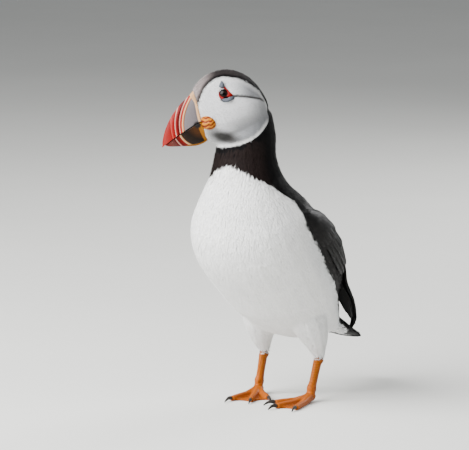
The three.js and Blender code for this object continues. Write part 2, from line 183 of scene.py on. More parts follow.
def line_gap(points: Array, line: Array) -> Array:
    """Distance from each flat point to an open line."""
    return edge_gap(points, line[:-1], np.diff(line, axis=0))


def inside_depth(points: Array, outline: Array) -> Array:
    """How far each flat point lies inside a closed outline; negative outside it.

    Args:
        points: Flat places.
        outline: Corners of the outline, in order.

    Returns:
        One depth for each place.
    """
    a, b = outline, np.roll(outline, -1, axis=0)
    edge = b - a
    gap = edge_gap(points, a, edge)
    y, x = points[:, 1, None], points[:, 0, None]
    crossing = (a[:, 1] > y) != (b[:, 1] > y)
    slope = np.where(edge[:, 1] == 0, 1e-9, edge[:, 1])
    hits = crossing & (x < a[:, 0] + (y - a[:, 1]) * edge[:, 0] / slope)
    return np.where(hits.sum(1) % 2 == 1, gap, -gap)


def make_mesh(name: str, vertices: Array, quads: Array,
              triangles: Array | None = None) -> Piece:
    """A smooth mesh object from arrays.

    Args:
        name: The piece's name.
        vertices: Places in millimetres.
        quads: Rows of four corners.
        triangles: Rows of three corners, or None.

    Returns:
        The linked object, at the origin.
    """
    triangles = np.zeros((0, 3), int) if triangles is None else triangles
    mesh = bpy.data.meshes.new(name)
    mesh.vertices.add(len(vertices))
    mesh.vertices.foreach_set("co", (vertices * MM).astype(np.float32).ravel())
    corners = np.concatenate([quads.ravel(), triangles.ravel()]).astype(np.int32)
    mesh.loops.add(len(corners))
    mesh.loops.foreach_set("vertex_index", corners)
    starts = np.concatenate([np.arange(len(quads)) * 4,
                             len(quads) * 4 + np.arange(len(triangles)) * 3])
    mesh.polygons.add(len(starts))
    mesh.polygons.foreach_set("loop_start", starts.astype(np.int32))
    mesh.polygons.foreach_set("use_smooth", np.ones(len(starts), bool))
    mesh.update(calc_edges=True)
    mesh.validate()
    return linked(name, mesh)


def linked(name: str, data: bpy.types.ID) -> Piece:
    """A new object in the scene that holds a mesh, a light or a camera.

    Args:
        name: The object's name.
        data: What it holds.

    Returns:
        The object.
    """
    made = bpy.data.objects.new(name, data)
    bpy.context.scene.collection.objects.link(made)
    return made


def set_values(target: Piece, name: str, kind: str, values: Array) -> None:
    """Stores one value for each vertex under a name; kind is a mesh attribute type.

    Args:
        target: The piece.
        name: The attribute's name.
        kind: FLOAT, FLOAT_VECTOR or FLOAT_COLOR.
        values: A row for each vertex.
    """
    key = {"FLOAT": "value", "FLOAT_VECTOR": "vector", "FLOAT_COLOR": "color"}[kind]
    layer = target.data.attributes.new(name, kind, "POINT")
    layer.data.foreach_set(key, np.ascontiguousarray(values, np.float32).ravel())


def set_colour(target: Piece, name: str, rgb: Array) -> None:
    """Stores a colour for each vertex."""
    set_values(target, name, "FLOAT_COLOR", np.c_[rgb, np.ones(len(rgb))])


def set_map(target: Piece, name: str, places: Array) -> None:
    """Gives the mesh a UV map whose corners take their vertex's place.

    Args:
        target: The piece.
        name: The map's name.
        places: A place for each vertex.
    """
    layer = target.data.uv_layers.new(name=name)
    index = np.empty(len(target.data.loops), np.int32)
    target.data.loops.foreach_get("vertex_index", index)
    layer.data.foreach_set("uv", places[index].astype(np.float32).ravel())


def read_mesh(source: Piece) -> Pair:
    """Vertices in millimetres and triangles of a mesh object.

    Args:
        source: The object.

    Returns:
        Vertices and triangles.
    """
    mesh = source.data
    vertices = np.empty(len(mesh.vertices) * 3, np.float32)
    mesh.vertices.foreach_get("co", vertices)
    mesh.calc_loop_triangles()
    triangles = np.empty(len(mesh.loop_triangles) * 3, np.int32)
    mesh.loop_triangles.foreach_get("vertices", triangles)
    return vertices.reshape(-1, 3).astype(float) / MM, triangles.reshape(-1, 3)


def read_edges(mesh: bpy.types.Mesh) -> Pair:
    """The first and the second end of every edge.

    Args:
        mesh: The mesh.

    Returns:
        Two rows of vertex numbers.
    """
    edges = np.empty(len(mesh.edges) * 2, np.int32)
    mesh.edges.foreach_get("vertices", edges)
    return edges[::2], edges[1::2]


def choose(*objects: Piece) -> None:
    """Makes these the only selected objects, the first one active.

    Args:
        *objects: The objects.
    """
    bpy.ops.object.select_all(action="DESELECT")
    for one in objects:
        one.select_set(True)
    bpy.context.view_layer.objects.active = objects[0]


def apply_all(target: Piece) -> None:
    """Applies every modifier of an object.

    Args:
        target: The object.
    """
    choose(target)
    for modifier in list(target.modifiers):
        bpy.ops.object.modifier_apply(modifier=modifier.name)


def merged_copy(node: str, name: str) -> Piece:
    """A selected copy of one of the frame's nodes, its doubled corners merged.

    Args:
        node: The node's name.
        name: The copy's name.

    Returns:
        The copy.
    """
    made = linked(name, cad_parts[node].data.copy())
    choose(made)
    bpy.ops.object.mode_set(mode="EDIT")
    bpy.ops.mesh.select_all(action="SELECT")
    bpy.ops.mesh.remove_doubles(threshold=1e-5)
    bpy.ops.object.mode_set(mode="OBJECT")
    return made


def add_ball(radius: float, centre: Array, segments: int, rings: int) -> Piece:
    """A new ball, the only selected object.

    Args:
        radius: Its radius.
        centre: Its middle.
        segments: Faces round it.
        rings: Faces from pole to pole.

    Returns:
        The ball.
    """
    bpy.ops.object.select_all(action="DESELECT")
    bpy.ops.mesh.primitive_uv_sphere_add(segments=segments, ring_count=rings,
                                         radius=radius * MM, location=tuple(centre * MM))
    return bpy.context.view_layer.objects.active


def grid_faces(rows: int, columns: int, closed: bool = False) -> Array:
    """Quads of a grid of vertices stored row by row; closed joins the last column to the first.

    Args:
        rows: Rows of vertices.
        columns: Vertices in a row.
        closed: Whether the last column joins the first.

    Returns:
        Four corners for each face.
    """
    wide = columns if closed else columns - 1
    i, j = np.meshgrid(np.arange(rows - 1), np.arange(wide), indexing="ij")
    nxt = (j + 1) % columns
    return np.stack([i * columns + j, i * columns + nxt,
                     (i + 1) * columns + nxt, (i + 1) * columns + j], -1).reshape(-1, 4)


def fan(centre: int, ring: Array) -> Array:
    """Triangles from one vertex to each step round a closed ring."""
    return np.stack([np.full(len(ring), centre), ring, np.roll(ring, -1)], -1)


def band(ring: Array, other: Array) -> Array:
    """Quads that join two closed rings of equal count."""
    return np.stack([ring, np.roll(ring, -1), np.roll(other, -1), other], -1)


def mirrored(rows: Array) -> Array:
    """Rows of values followed by the same ones back again, without the last."""
    return np.concatenate([rows, rows[:, -2::-1]], 1)


def faces_in(vertices: Array, quads: Array) -> bool:
    """Whether a closed shape's faces point inwards."""
    a, b, c = (vertices[quads[:, k]] - vertices.mean(0) for k in (0, 1, 2))
    return (a * np.cross(b, c)).sum() < 0


# ---- Frames of reference ----


class HeadFrame:
    """The head's own axes: ahead along the bill, above, and out to the bird's left."""

    ORIGIN = np.array([-12.6, -66.48, 237.0])
    TURN = math.radians(-50)

    def __init__(self) -> None:
        """Works out the head's three axes."""
        c, s = math.cos(self.TURN), math.sin(self.TURN)
        self.axes = np.array([[s, -c, 0.0], [0.0, 0.0, 1.0], [c, s, 0.0]])

    def local(self, points: Array) -> Array:
        """Places as (ahead, above, left) of the point between the eyes."""
        return (points - self.ORIGIN) @ self.axes.T

    def world(self, places: Array) -> Array:
        """Frame places of head places."""
        return np.asarray(places, float) @ self.axes + self.ORIGIN

    def turned(self, vectors: Array) -> Array:
        """Frame directions of head directions."""
        return np.asarray(vectors, float) @ self.axes


class Spine:
    """The middle line from crown to tail, which gives each place a length and an angle."""

    LINE = ((54.5, 231), (54.5, 221), (55, 206), (55, 190), (54, 174), (51.5, 160),
            (46.5, 147), (38.5, 131), (23.5, 111), (6.5, 91), (-11.5, 74), (-32.5, 61),
            (-50.5, 52), (-61.5, 47.5), (-79.5, 41), (-95.8, 34.4), (-104, 31))

    CHUNK = 20000

    def __init__(self) -> None:
        """Works out the line's lengths and headings."""
        self.line = curve(self.LINE, 8)
        step = np.linalg.norm(np.diff(self.line, axis=0), axis=1)
        self.lengths = np.r_[0, np.cumsum(step)]
        self.heading = unit(np.gradient(self.line, axis=0))

    def locate(self, points: Array) -> Triple:
        """Where each place is along and round the body.

        Args:
            points: Places in the frame.

        Returns:
            Millimetres along from the crown, degrees round from the belly with the bird's
            left positive, and the heading towards the tail.
        """
        flat = np.stack([-points[:, 1], points[:, 2]], -1)
        near = np.empty(len(points), int)
        for start in range(0, len(points), self.CHUNK):
            part = slice(start, start + self.CHUNK)
            near[part] = ((flat[part, None] - self.line[None]) ** 2).sum(-1).argmin(1)
        ahead = self.heading[near]
        off = flat - self.line[near]
        front = -ahead[:, 1] * off[:, 0] + ahead[:, 0] * off[:, 1]
        lengths = self.lengths[near] + (off * ahead).sum(-1)
        angle = np.degrees(np.arctan2(points[:, 0], front))
        return lengths, angle, np.stack([np.zeros(len(near)), -ahead[:, 0], ahead[:, 1]], -1)

    def place(self, length: float, angle: float, out: float) -> Pair:
        """The place and outward direction at a length, angle and distance from the line.

        Args:
            length: Millimetres along the line.
            angle: Degrees round from the belly.
            out: Distance from the line.

        Returns:
            The place and the outward direction.
        """
        f, h, hf, hh = (np.interp(length, self.lengths, column)
                        for column in (*self.line.T, *self.heading.T))
        a = math.radians(angle)
        away = unit(np.array([math.sin(a), math.cos(a) * hh, math.cos(a) * hf]))
        return np.array([0.0, -f, h]) + away * out, away


HEAD = HeadFrame()
SPINE = Spine()


# ---- Markings ----


class Zone(IntEnum):
    """Tracts of the body that carry their own kind of feather."""

    FACE = 0
    CROWN = 1
    NECK = 2
    BREAST = 3
    BACK = 4
    WING = 5
    TAIL = 6
    THIGH = 7
    BARE = 8


@dataclass(frozen=True)
class Dress:
    """Colours of the summer dress, linear."""

    white: Colour = (0.86, 0.86, 0.85)
    # flank: the white greyed and cooled as painted shade, low on the body near the dark plumage
    flank: Colour = (0.66, 0.68, 0.70)
    face: Colour = (0.66, 0.66, 0.67)
    # cheek: the face's real grey wash, deepened by painted shade on the lower rear cheek and above
    # the crease
    cheek: Colour = (0.18, 0.185, 0.195)
    # a dark grey mark on the chin, also used as painted shadow under the cheek and painted shade in
    # the crease
    smudge: Colour = (0.022, 0.020, 0.018)
    crown: Colour = (0.036, 0.030, 0.030)
    # painted highlight: the crown's dark grey-brown lightened where sheen falls on its front
    forehead: Colour = (0.36, 0.305, 0.295)
    nape: Colour = (0.0032, 0.0029, 0.0032)
    # collar: the collar's real brown-black, lightened as painted light where the neck's front is
    # sunlit
    collar: Colour = (0.0115, 0.0074, 0.0068)
    back: Colour = (0.0055, 0.0050, 0.0052)
    bare: Colour = (0.38, 0.084, 0.0008)
    shank: Colour = (0.35, 0.086, 0.0012)


class Markings:
    """The pattern of the plumage, the same for skin and coat."""

    FACE_EDGE = ((18.5, -12), (18, -4.7), (15.2, 1.6), (12.9, 4.6), (8.9, 8), (4.5, 10.3),
                 (-1.4, 11.2), (-6.9, 10.5), (-13.4, 9.0), (-19.9, 5.4), (-24.4, 1.8),
                 (-28.9, -2.4), (-32, -7), (-33.9, -14), (-32.9, -21), (-29.6, -26.2),
                 (-25.9, -29.9), (-21.7, -33.2), (-16.8, -35.8), (-9.8, -38.5), (-2.6, -40.3),
                 (2.9, -41.2), (9, -41), (13, -36), (17, -26), (18.5, -19))
    CREASE = ((-5.2, -1.6), (-12.5, -2.1), (-19.2, -3.0), (-26.2, -4.6), (-31.5, -7.4))
    COLLAR = ((0, 46.6), (10, 47.2), (20, 49), (34, 51.2), (45, 54.6), (61, 57.5),
              (76, 62.5), (86, 69.5), (92, 74), (97, 80), (180, 80))
    FLANK = ((60, 96), (84, 91), (94, 87.5), (115.6, 90.5), (143.9, 93.5), (169.3, 100.5),
             (182, 104), (215, 100), (236, 92), (250, 84), (262, 60), (268, 0), (300, 0))

    STRIP = 8.8
    HEAD_BASE = 188.0

    def __init__(self, dress: Dress) -> None:
        """Keeps the dress and draws the smooth borders.

        Args:
            dress: The colours.
        """
        self.dress = dress
        self.face_edge = loop_curve(self.FACE_EDGE, 4)
        self.crease = curve(self.CREASE, 6)

    def face_depth(self, points: Array) -> Array:
        """How far inside the pale face each place lies, by its place on the head.

        Args:
            points: Places in the frame.

        Returns:
            One depth for each, negative outside.
        """
        depth = np.full(len(points), -20.0)
        near = points[:, 2] > self.HEAD_BASE
        f, h, side = HEAD.local(points[near]).T
        strip = self.STRIP * np.maximum(rise(h, -36, -26), rise(-f, 4, 14))
        strip *= 1 - 0.35 * rise(f, 8, 16) * rise(-h, 4, 12)
        flat = np.stack([f, h], -1)
        depth[near] = np.minimum(inside_depth(flat, self.face_edge), np.abs(side) - strip)
        return depth

    def white_depth(self, points: Array) -> Array:
        """How far inside the white underparts each place lies, in about millimetres.

        Args:
            points: Places in the frame.

        Returns:
            One depth for each, negative outside.
        """
        length, angle, _ = SPINE.locate(points)
        around = np.abs(angle)
        collar = np.interp(around, *zip(*self.COLLAR))
        flank = np.interp(length, *zip(*self.FLANK))
        return np.minimum(length - collar, (flank - around) * 0.8)

    def colours(self, points: Array, zones: Array, rng: Chance) -> Array:
        """The plumage colour at each place.

        Args:
            points: Places in the frame.
            zones: The Zone value of each place.
            rng: Source of the small mottling at the borders.

        Returns:
            Linear colours, one row for each place.
        """
        d = self.dress
        shade = {k: np.array(getattr(d, k)) for k in d.__dataclass_fields__}
        local = HEAD.local(points)
        f, h = local[:, 0], local[:, 1]
        ragged = rng.normal(0, 1, len(points))

        # The front and top of the crown blend to the painted sheen colour.
        head = blend(shade["crown"], shade["forehead"], rise(f, 4, 17) * rise(h, -12, 2))
        head = blend(head, shade["nape"], np.maximum(rise(-f, 10, 27), rise(-h, 14, 24)))
        # Lower rear cheek and rear of the face darkened to the cheek grey: partly the real grey
        # wash, partly painted shade.
        under = 0.85 * rise(-h - 0.25 * f, 12, 32) * rise(-f, -6, 14)
        face = blend(shade["face"], shade["cheek"], under)
        face = blend(face, shade["cheek"], 0.62 * rise(-f, 12, 30))
        # Above the crease behind the eye: partly the face's grey, partly painted shade.
        face = blend(face, shade["cheek"], 0.85 * rise(h, -4.8, -1.5) * rise(-f, 3, 20))
        # Dark patch on the chin under the rosette: partly the real dark grey chin, partly painted
        # shadow under the cheek.
        low = 1 - rise(np.hypot((f + 0.5) / 2.4, h + 32.3 - 0.25 * f), 1.8, 7.4)
        face = blend(face, shade["smudge"], 0.94 * low)
        # The crease behind the eye is painted dark along its line: painted shade in the groove.
        seam = np.full(len(points), 9.0)
        near = (points[:, 2] > 215) & (np.abs(local[:, 2]) > 6)
        seam[near] = line_gap(local[near, :2], self.crease)
        face = blend(face, shade["smudge"], 0.9 * (1 - rise(seam, 0.3, 1.5)))
        depth = self.face_depth(points)
        upper = rise(h, -20, -6)
        # Just outside the face's upper border the crown is darkened to black: painted shade in the
        # groove beside the raised rim.
        head = blend(head, shade["nape"], 0.85 * rise(depth, -2.6, -0.8) * upper)
        lower = rise(-h, 18, 24) * rise(-f, -9, -4)
        # A whiter rim inside the face's border: on the upper border a painted highlight along the
        # raised rim, on the lower border the white kept against the darker cheek.
        rim = (1 - rise(depth, 0.8, 3.4)) * np.maximum(0.55 * upper, 0.8 * lower)
        face = blend(face, shade["white"], rim)
        head = blend(head, face, rise(depth + 0.25 * ragged, -0.3, 0.5))

        length, angle, _ = SPINE.locate(points)
        # Front of the neck takes the lighter collar colour, sides and back the black nape colour:
        # the lighter front is painted light.
        dark = blend(shade["collar"], shade["nape"], rise(np.abs(angle), 62, 84))
        dark = blend(dark, shade["back"], rise(length, 66, 82))
        dark = blend(dark, shade["nape"], 1 - rise(length, 24, 36))
        depth = self.white_depth(points)
        shaded = 0.5 * (1 - rise(depth, 2, 16)) * rise(length, 90, 120)
        white = blend(shade["white"], shade["flank"], shaded)
        body = blend(dark, white, rise(depth + 0.3 * ragged, -0.6, 0.6))
        body = blend(body, shade["back"], (zones == Zone.WING).astype(float))
        thigh = zones == Zone.THIGH
        body[thigh] = shade["white"] * 0.93
        on_head = np.isin(zones, (Zone.FACE, Zone.CROWN)).astype(float)
        body = blend(body, head, on_head)
        bare = (zones == Zone.BARE).astype(float)
        skin = blend(shade["bare"], shade["shank"], rise(points[:, 2], 10, 20))
        return blend(body, skin, bare)


# ---- Skin ----


@dataclass(frozen=True)
class SkinSize:
    """How the skin is made from the frame's nodes of flesh."""

    swell: float = 0.28
    ankle: float = 4.3
    heel: float = 4.9
    bare_below: float = 31.0
    voxel: float = 0.65
    keep: float = 0.34
    passes: int = 26
    even_passes: int = 40
    body_depth: float = 1.9
    face_depth: float = 0.8
    thin_share: float = 0.28
    crease_depth: float = 1.45
    crease_reach: float = 1.1
    socket: float = 3.5
    socket_depth: float = 3.2


class Skin:
    """One closed skin under the plumage, with the bare legs and feet."""

    UNDER_SHADE = 0.8
    THICKEST = 40.0
    CANDIDATES = 5
    NEAREST = 0.72
    HASH = np.array([73856093, 19349663, 83492791])
    FALL = (0.45, 0.8)
    TURN = (-0.5, -0.2)

    def __init__(self, size: SkinSize, markings: Markings, rng: Chance) -> None:
        """Moulds, shapes and marks the skin.

        Args:
            size: How it is made.
            markings: The pattern of the plumage.
            rng: Source of chance.
        """
        self.size = size
        self.markings = markings
        self.piece = self._moulded()
        vertices, triangles = read_mesh(self.piece)
        self._shape(vertices, triangles)
        self.zones = self._zones_of(self.vertices)
        set_colour(self.piece, "plumage",
                   markings.colours(self.vertices, self.zones, rng) * self.UNDER_SHADE)
        set_values(self.piece, "bare", "FLOAT", (self.zones == Zone.BARE).astype(float))
        LOG.info("skin: %d vertices, %d triangles", len(self.vertices), len(self.triangles))

    def _moulded(self) -> Piece:
        """The nodes of flesh, swelled a little, fused and reduced.

        Returns:
            The skin's object.
        """
        copies = []
        for name in FLESH + FILLED:
            one = merged_copy(name, "skin_" + name)
            swell = one.modifiers.new("swell", "DISPLACE")
            swell.strength = self.size.swell * MM
            swell.mid_level = 0.0
            apply_all(one)
            copies.append(one)
        for name, _ in SIDES:
            copies.append(self._filler(name, 0.0, self.size.ankle))
            copies.append(self._filler(name, 1.0, self.size.heel))
        choose(*copies)
        bpy.ops.object.join()
        made = bpy.context.view_layer.objects.active
        made.name = "skin"
        made.data.name = "skin"
        made.data.materials.clear()
        fuse = made.modifiers.new("fuse", "REMESH")
        fuse.mode = "VOXEL"
        fuse.voxel_size = self.size.voxel * MM
        apply_all(made)
        self._keep_largest(made)
        self._relax(made)
        fewer = made.modifiers.new("fewer", "DECIMATE")
        fewer.ratio = self.size.keep
        apply_all(made)
        choose(made)
        bpy.ops.object.shade_smooth()
        return made

    @staticmethod
    def _filler(side: str, share: float, radius: float) -> Piece:
        """A small ball that fills a leg's joint, at its ankle (0) or its heel (1).

        Args:
            side: left or right.
            share: Where on the leg, from ankle to heel.
            radius: The ball's radius.

        Returns:
            The ball.
        """
        vertices, _ = read_mesh(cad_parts[side + "_leg"])
        low, high = vertices[:, 2].min(), vertices[:, 2].max()
        height = low + (high - low) * share
        near = vertices[np.abs(vertices[:, 2] - height) < 1.2]
        centre = (near.min(0) + near.max(0)) / 2
        made = add_ball(radius, centre, 24, 16)
        bpy.ops.transform.resize(value=(0.9, 1.0, 1.15), center_override=tuple(centre * MM))
        bpy.ops.object.transform_apply(location=True, rotation=True, scale=True)
        return made

    @staticmethod
    def _keep_largest(target: Piece) -> None:
        """Deletes loose bubbles that the fusing left inside.

        Args:
            target: The fused object.
        """
        mesh = target.data
        a, b = read_edges(mesh)
        label = np.arange(len(mesh.vertices))
        while True:
            low = np.minimum(label[a], label[b])
            new = label.copy()
            np.minimum.at(new, a, low)
            np.minimum.at(new, b, low)
            new = new[new]
            if (new == label).all():
                break
            label = new
        names, counts = np.unique(label, return_counts=True)
        lost = label != names[counts.argmax()]
        if lost.any():
            mesh.vertices.foreach_set("select", lost)
            choose(target)
            bpy.ops.object.mode_set(mode="EDIT")
            bpy.ops.mesh.delete(type="VERT")
            bpy.ops.object.mode_set(mode="OBJECT")

    def _relax(self, target: Piece) -> None:
        """Smooths facets away, less on thin parts, and takes back the swell.

        Args:
            target: The fused object.
        """
        mesh = target.data
        count = len(mesh.vertices)
        a, b = read_edges(mesh)
        both, other = np.r_[a, b], np.r_[b, a]
        degree = np.maximum(np.bincount(both, minlength=count), 1)[:, None]
        co = np.empty(count * 3, np.float32)
        mesh.vertices.foreach_get("co", co)
        co = co.reshape(-1, 3).astype(float) / MM
        length, _, _ = SPINE.locate(co)
        free = rise(co[:, 2], 24, 40) * (1 - 0.75 * rise(length, 215, 250))
        ankle = bulge(co[:, 2], 10.5, 4.0)
        free = np.where(co[:, 2] < 30, 0.12 + 0.8 * ankle, free)
        for _ in range(self.size.passes):
            for gain in (0.55, -0.5):
                mean = np.stack([np.bincount(both, co[other, k], count) for k in range(3)], -1)
                co += gain * free[:, None] * (mean / degree - co)
        mesh.vertices.foreach_set("co", (co * MM).astype(np.float32).ravel())
        mesh.update()

    def _shape(self, vertices: Array, triangles: Array) -> None:
        """Sinks the skin by the coat's depth and cuts the eye sockets and face folds.

        Args:
            vertices: Places of the moulded skin.
            triangles: Its faces.
        """
        s = self.size
        self.triangles = triangles
        even = np.stack([self._evened(vertices[:, k], s.even_passes) for k in range(3)], -1)
        soft = rise(self.markings.white_depth(vertices), 2, 12) * rise(vertices[:, 2], 64, 84)
        vertices = blend(vertices, even, soft)
        normals = self._normals(vertices)
        inner = BVHTree.FromPolygons(vertices.tolist(), triangles.tolist())
        local = HEAD.local(vertices)
        on_head = rise(vertices[:, 2], 196, 206)
        edge = self.markings.face_depth(vertices)
        face = rise(edge, -2, 2) * on_head
        depth = s.body_depth + (s.face_depth - s.body_depth) * np.maximum(face, 0.75 * on_head)
        thick = np.full(len(vertices), 60.0)
        for i, (p, n) in enumerate(zip(vertices, normals)):
            hit = inner.ray_cast(Vector(p - n * 0.05), Vector(-n), self.THICKEST)
            if hit[0] is not None:
                thick[i] = hit[3]
        depth = np.minimum(depth, s.thin_share * thick)
        depth = np.where(vertices[:, 2] < s.bare_below, s.swell, depth)
        depth = self._evened(depth, 6)
        moved = vertices - normals * depth[:, None]
        flat = local[:, :2]
        side = np.abs(local[:, 2]) > 6
        near = side & (on_head > 0)
        fold, above = np.zeros(len(vertices)), np.zeros(len(vertices))
        crease = self.markings.crease
        fold[near] = bulge(line_gap(flat[near], crease), 0, s.crease_reach)
        above[near] = bulge(line_gap(flat[near], crease + [0, 2.6]), 0, 2.2)
        fade = 1 - rise(-flat[:, 0], 19, 27)
        rim = 0.45 * bulge(edge, 2.0, 1.5) - 0.4 * bulge(edge, -0.8, 0.8)
        moved += normals * (rim * side * on_head * rise(flat[:, 1], -20, -6))[:, None]
        moved -= normals * ((s.crease_depth * fold - 0.35 * above) * fade)[:, None]
        for name, sign in SIDES:
            low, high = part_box(name + "_eye")
            at = HEAD.local(np.array((low + high) / 2)[None] / MM)[0]
            gap = np.hypot(flat[:, 0] - at[0], flat[:, 1] - at[1])
            sunk = s.socket_depth * (1 - rise(gap, s.socket - 0.8, s.socket))
            sunk = np.where(local[:, 2] * sign > 6, sunk, 0)
            moved -= HEAD.turned(np.array([[0.0, 0.0, sign]])) * sunk[:, None]
        self.vertices = moved
        self.piece.data.vertices.foreach_set("co", (moved * MM).astype(np.float32).ravel())
        self.piece.data.update()
        self.normals = self._normals(moved)
        self.tree = BVHTree.FromPolygons(moved.tolist(), triangles.tolist())

    def _normals(self, vertices: Array) -> Array:
        """Vertex normals by area.

        Args:
            vertices: Places of the skin's vertices.

        Returns:
            One normal for each.
        """
        t = self.triangles
        cross = np.cross(vertices[t[:, 1]] - vertices[t[:, 0]],
                         vertices[t[:, 2]] - vertices[t[:, 0]])
        total = np.zeros_like(vertices)
        for k in range(3):
            for axis in range(3):
                total[:, axis] += np.bincount(t[:, k], cross[:, axis], len(vertices))
        return unit(total)

    def _evened(self, values: Array, passes: int) -> Array:
        """Values smoothed over neighbouring vertices.

        Args:
            values: One for each vertex.
            passes: How often they are averaged.

        Returns:
            The smoothed values.
        """
        t = self.triangles
        a = np.r_[t[:, 0], t[:, 1], t[:, 2], t[:, 1], t[:, 2], t[:, 0]]
        b = np.r_[t[:, 1], t[:, 2], t[:, 0], t[:, 0], t[:, 1], t[:, 2]]
        degree = np.maximum(np.bincount(a, minlength=len(values)), 1)
        for _ in range(passes):
            values = 0.4 * values + 0.6 * np.bincount(a, values[b], len(values)) / degree
        return values

    def _zones_of(self, points: Array) -> Array:
        """The Zone value of each place, from the nearest node of flesh.

        Args:
            points: Places in the frame.

        Returns:
            One Zone value for each.
        """
        groups = {"wing": ("left_wing", "right_wing"), "trunk": ("trunk", "neck"),
                  "tail": ("tail",), "thigh": ("left_thigh", "right_thigh"),
                  "bare": ("left_leg", "right_leg", "left_foot", "right_foot")}
        gaps = {}
        for key, names in groups.items():
            stacked, faces, count = [], [], 0
            for name in names:
                v, t = read_mesh(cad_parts[name])
                stacked.append(v)
                faces.append(t + count)
                count += len(v)
            tree = BVHTree.FromPolygons(np.vstack(stacked).tolist(), np.vstack(faces).tolist())
            gaps[key] = np.array([tree.find_nearest(Vector(p))[3] for p in points])
        nearest = np.array(list(gaps))[np.argmin(np.stack(list(gaps.values())), 0)]
        length, _, _ = SPINE.locate(points)
        zones = np.where(self.markings.white_depth(points) > 0, Zone.BREAST,
                         Zone.BACK)
        zones = np.where((length < 80) & (zones == Zone.BACK), Zone.NECK, zones)
        for kind in ("wing", "tail", "thigh", "bare"):
            zones = np.where(nearest == kind, Zone[kind.upper()], zones)
        local = HEAD.local(points)
        plane = (local[:, 0] * 0.34 + (local[:, 1] + 40) * 0.94) > -3.5
        head = plane & (points[:, 2] > 190)
        inside = self.markings.face_depth(points) > 0
        zones = np.where(head & inside, Zone.FACE, zones)
        return np.where(head & ~inside, Zone.CROWN, zones)

    def nearest(self, points: Array) -> Triple:
        """The nearest skin place, its normal and its triangle for each point.

        Args:
            points: Places in the frame.

        Returns:
            Places on the skin, normals and triangles.
        """
        place = np.empty((len(points), 3))
        index = np.empty(len(points), int)
        find = self.tree.find_nearest
        for i, p in enumerate(points.tolist()):
            hit = find(p)
            place[i] = hit[0]
            index[i] = hit[2]
        return place, self._normal_at(place, index), index

    def _normal_at(self, places: Array, index: Array) -> Array:
        """Smooth normals inside triangles.

        Args:
            places: Places on the skin.
            index: The triangle of each.

        Returns:
            One normal for each.
        """
        t = self.triangles[index]
        a, b, c = (self.vertices[t[:, k]] for k in range(3))
        area = np.linalg.norm(np.cross(b - a, c - a), axis=1) + 1e-12
        wa = np.linalg.norm(np.cross(b - places, c - places), axis=1) / area
        wb = np.linalg.norm(np.cross(c - places, a - places), axis=1) / area
        wc = np.clip(1 - wa - wb, 0, 1)
        n = self.normals
        return unit(n[t[:, 0]] * wa[:, None] + n[t[:, 1]] * wb[:, None] + n[t[:, 2]] * wc[:, None])

    def cast(self, starts: Array, ways: Array) -> Pair:
        """Where rays from outside meet the skin, and the normals there.

        Args:
            starts: Places outside the skin.
            ways: Directions of the rays.

        Returns:
            Places on the skin and normals.
        """
        place, index = np.empty((len(starts), 3)), np.zeros(len(starts), int)
        for i, (p, d) in enumerate(zip(starts.tolist(), ways.tolist())):
            hit = self.tree.ray_cast(p, d)
            if hit[0] is None:
                hit = self.tree.find_nearest(p)
            place[i], index[i] = hit[0], hit[2]
        return place, self._normal_at(place, index)

    def scatter(self, zone: tuple[Zone, ...], spacing: float, rng: Chance,
                keep: PerPlace = None) -> Triple:
        """Roots spread evenly over some zones.

        Args:
            zone: The zones to cover.
            spacing: Millimetres between neighbours.
            rng: Source of chance.
            keep: Function of places that says which may stay, or None.

        Returns:
            Places, normals and zone values.
        """
        t = self.triangles
        of_face = self.zones[t[:, 0]]
        chosen = np.isin(of_face, zone)
        t, of_face = t[chosen], of_face[chosen]
        a, b, c = (self.vertices[t[:, k]] for k in range(3))
        area = np.linalg.norm(np.cross(b - a, c - a), axis=1) / 2
        count = int(area.sum() / spacing**2 * self.CANDIDATES)
        pick = rng.choice(len(t), count, p=area / area.sum())
        u, v = rng.random(count), rng.random(count)
        flip = u + v > 1
        u, v = np.where(flip, 1 - u, u), np.where(flip, 1 - v, v)
        places = a[pick] + (b - a)[pick] * u[:, None] + (c - a)[pick] * v[:, None]
        n = self.normals[t[pick]]
        normals = unit(n[:, 0] * (1 - u - v)[:, None] + n[:, 1] * u[:, None] + n[:, 2] * v[:, None])
        if keep is not None:
            stay = keep(places)
            places, normals, pick = places[stay], normals[stay], pick[stay]
        code = np.bitwise_xor.reduce(np.floor(places / spacing).astype(np.int64) * self.HASH, 1)
        _, first = np.unique(code, return_index=True)
        places, normals, zones = places[first], normals[first], of_face[pick[first]]
        order = self._thin(places, spacing * self.NEAREST)
        return places[order], normals[order], zones[order]

    @staticmethod
    def _thin(places: Array, gap: float) -> Array:
        """Indices left after dropping one of each pair closer than a gap.

        Args:
            places: Roots.
            gap: Least distance between two.

        Returns:
            Indices of the kept.
        """
        cells = np.floor(places / gap).astype(np.int64)
        table: dict[tuple[int, int, int], int] = {}
        kept = []
        around = [(i, j, k) for i in (-1, 0, 1) for j in (-1, 0, 1) for k in (-1, 0, 1)]
        rows = places.tolist()
        for index, cell in enumerate(map(tuple, cells.tolist())):
            x, y, z = rows[index]
            others = (table.get((cell[0] + i, cell[1] + j, cell[2] + k)) for i, j, k in around)
            close = (rows[other] for other in others if other is not None)
            if all((px - x) ** 2 + (py - y) ** 2 + (pz - z) ** 2 >= gap * gap
                   for px, py, pz in close):
                table[cell] = index
                kept.append(index)
        return np.array(kept, int)

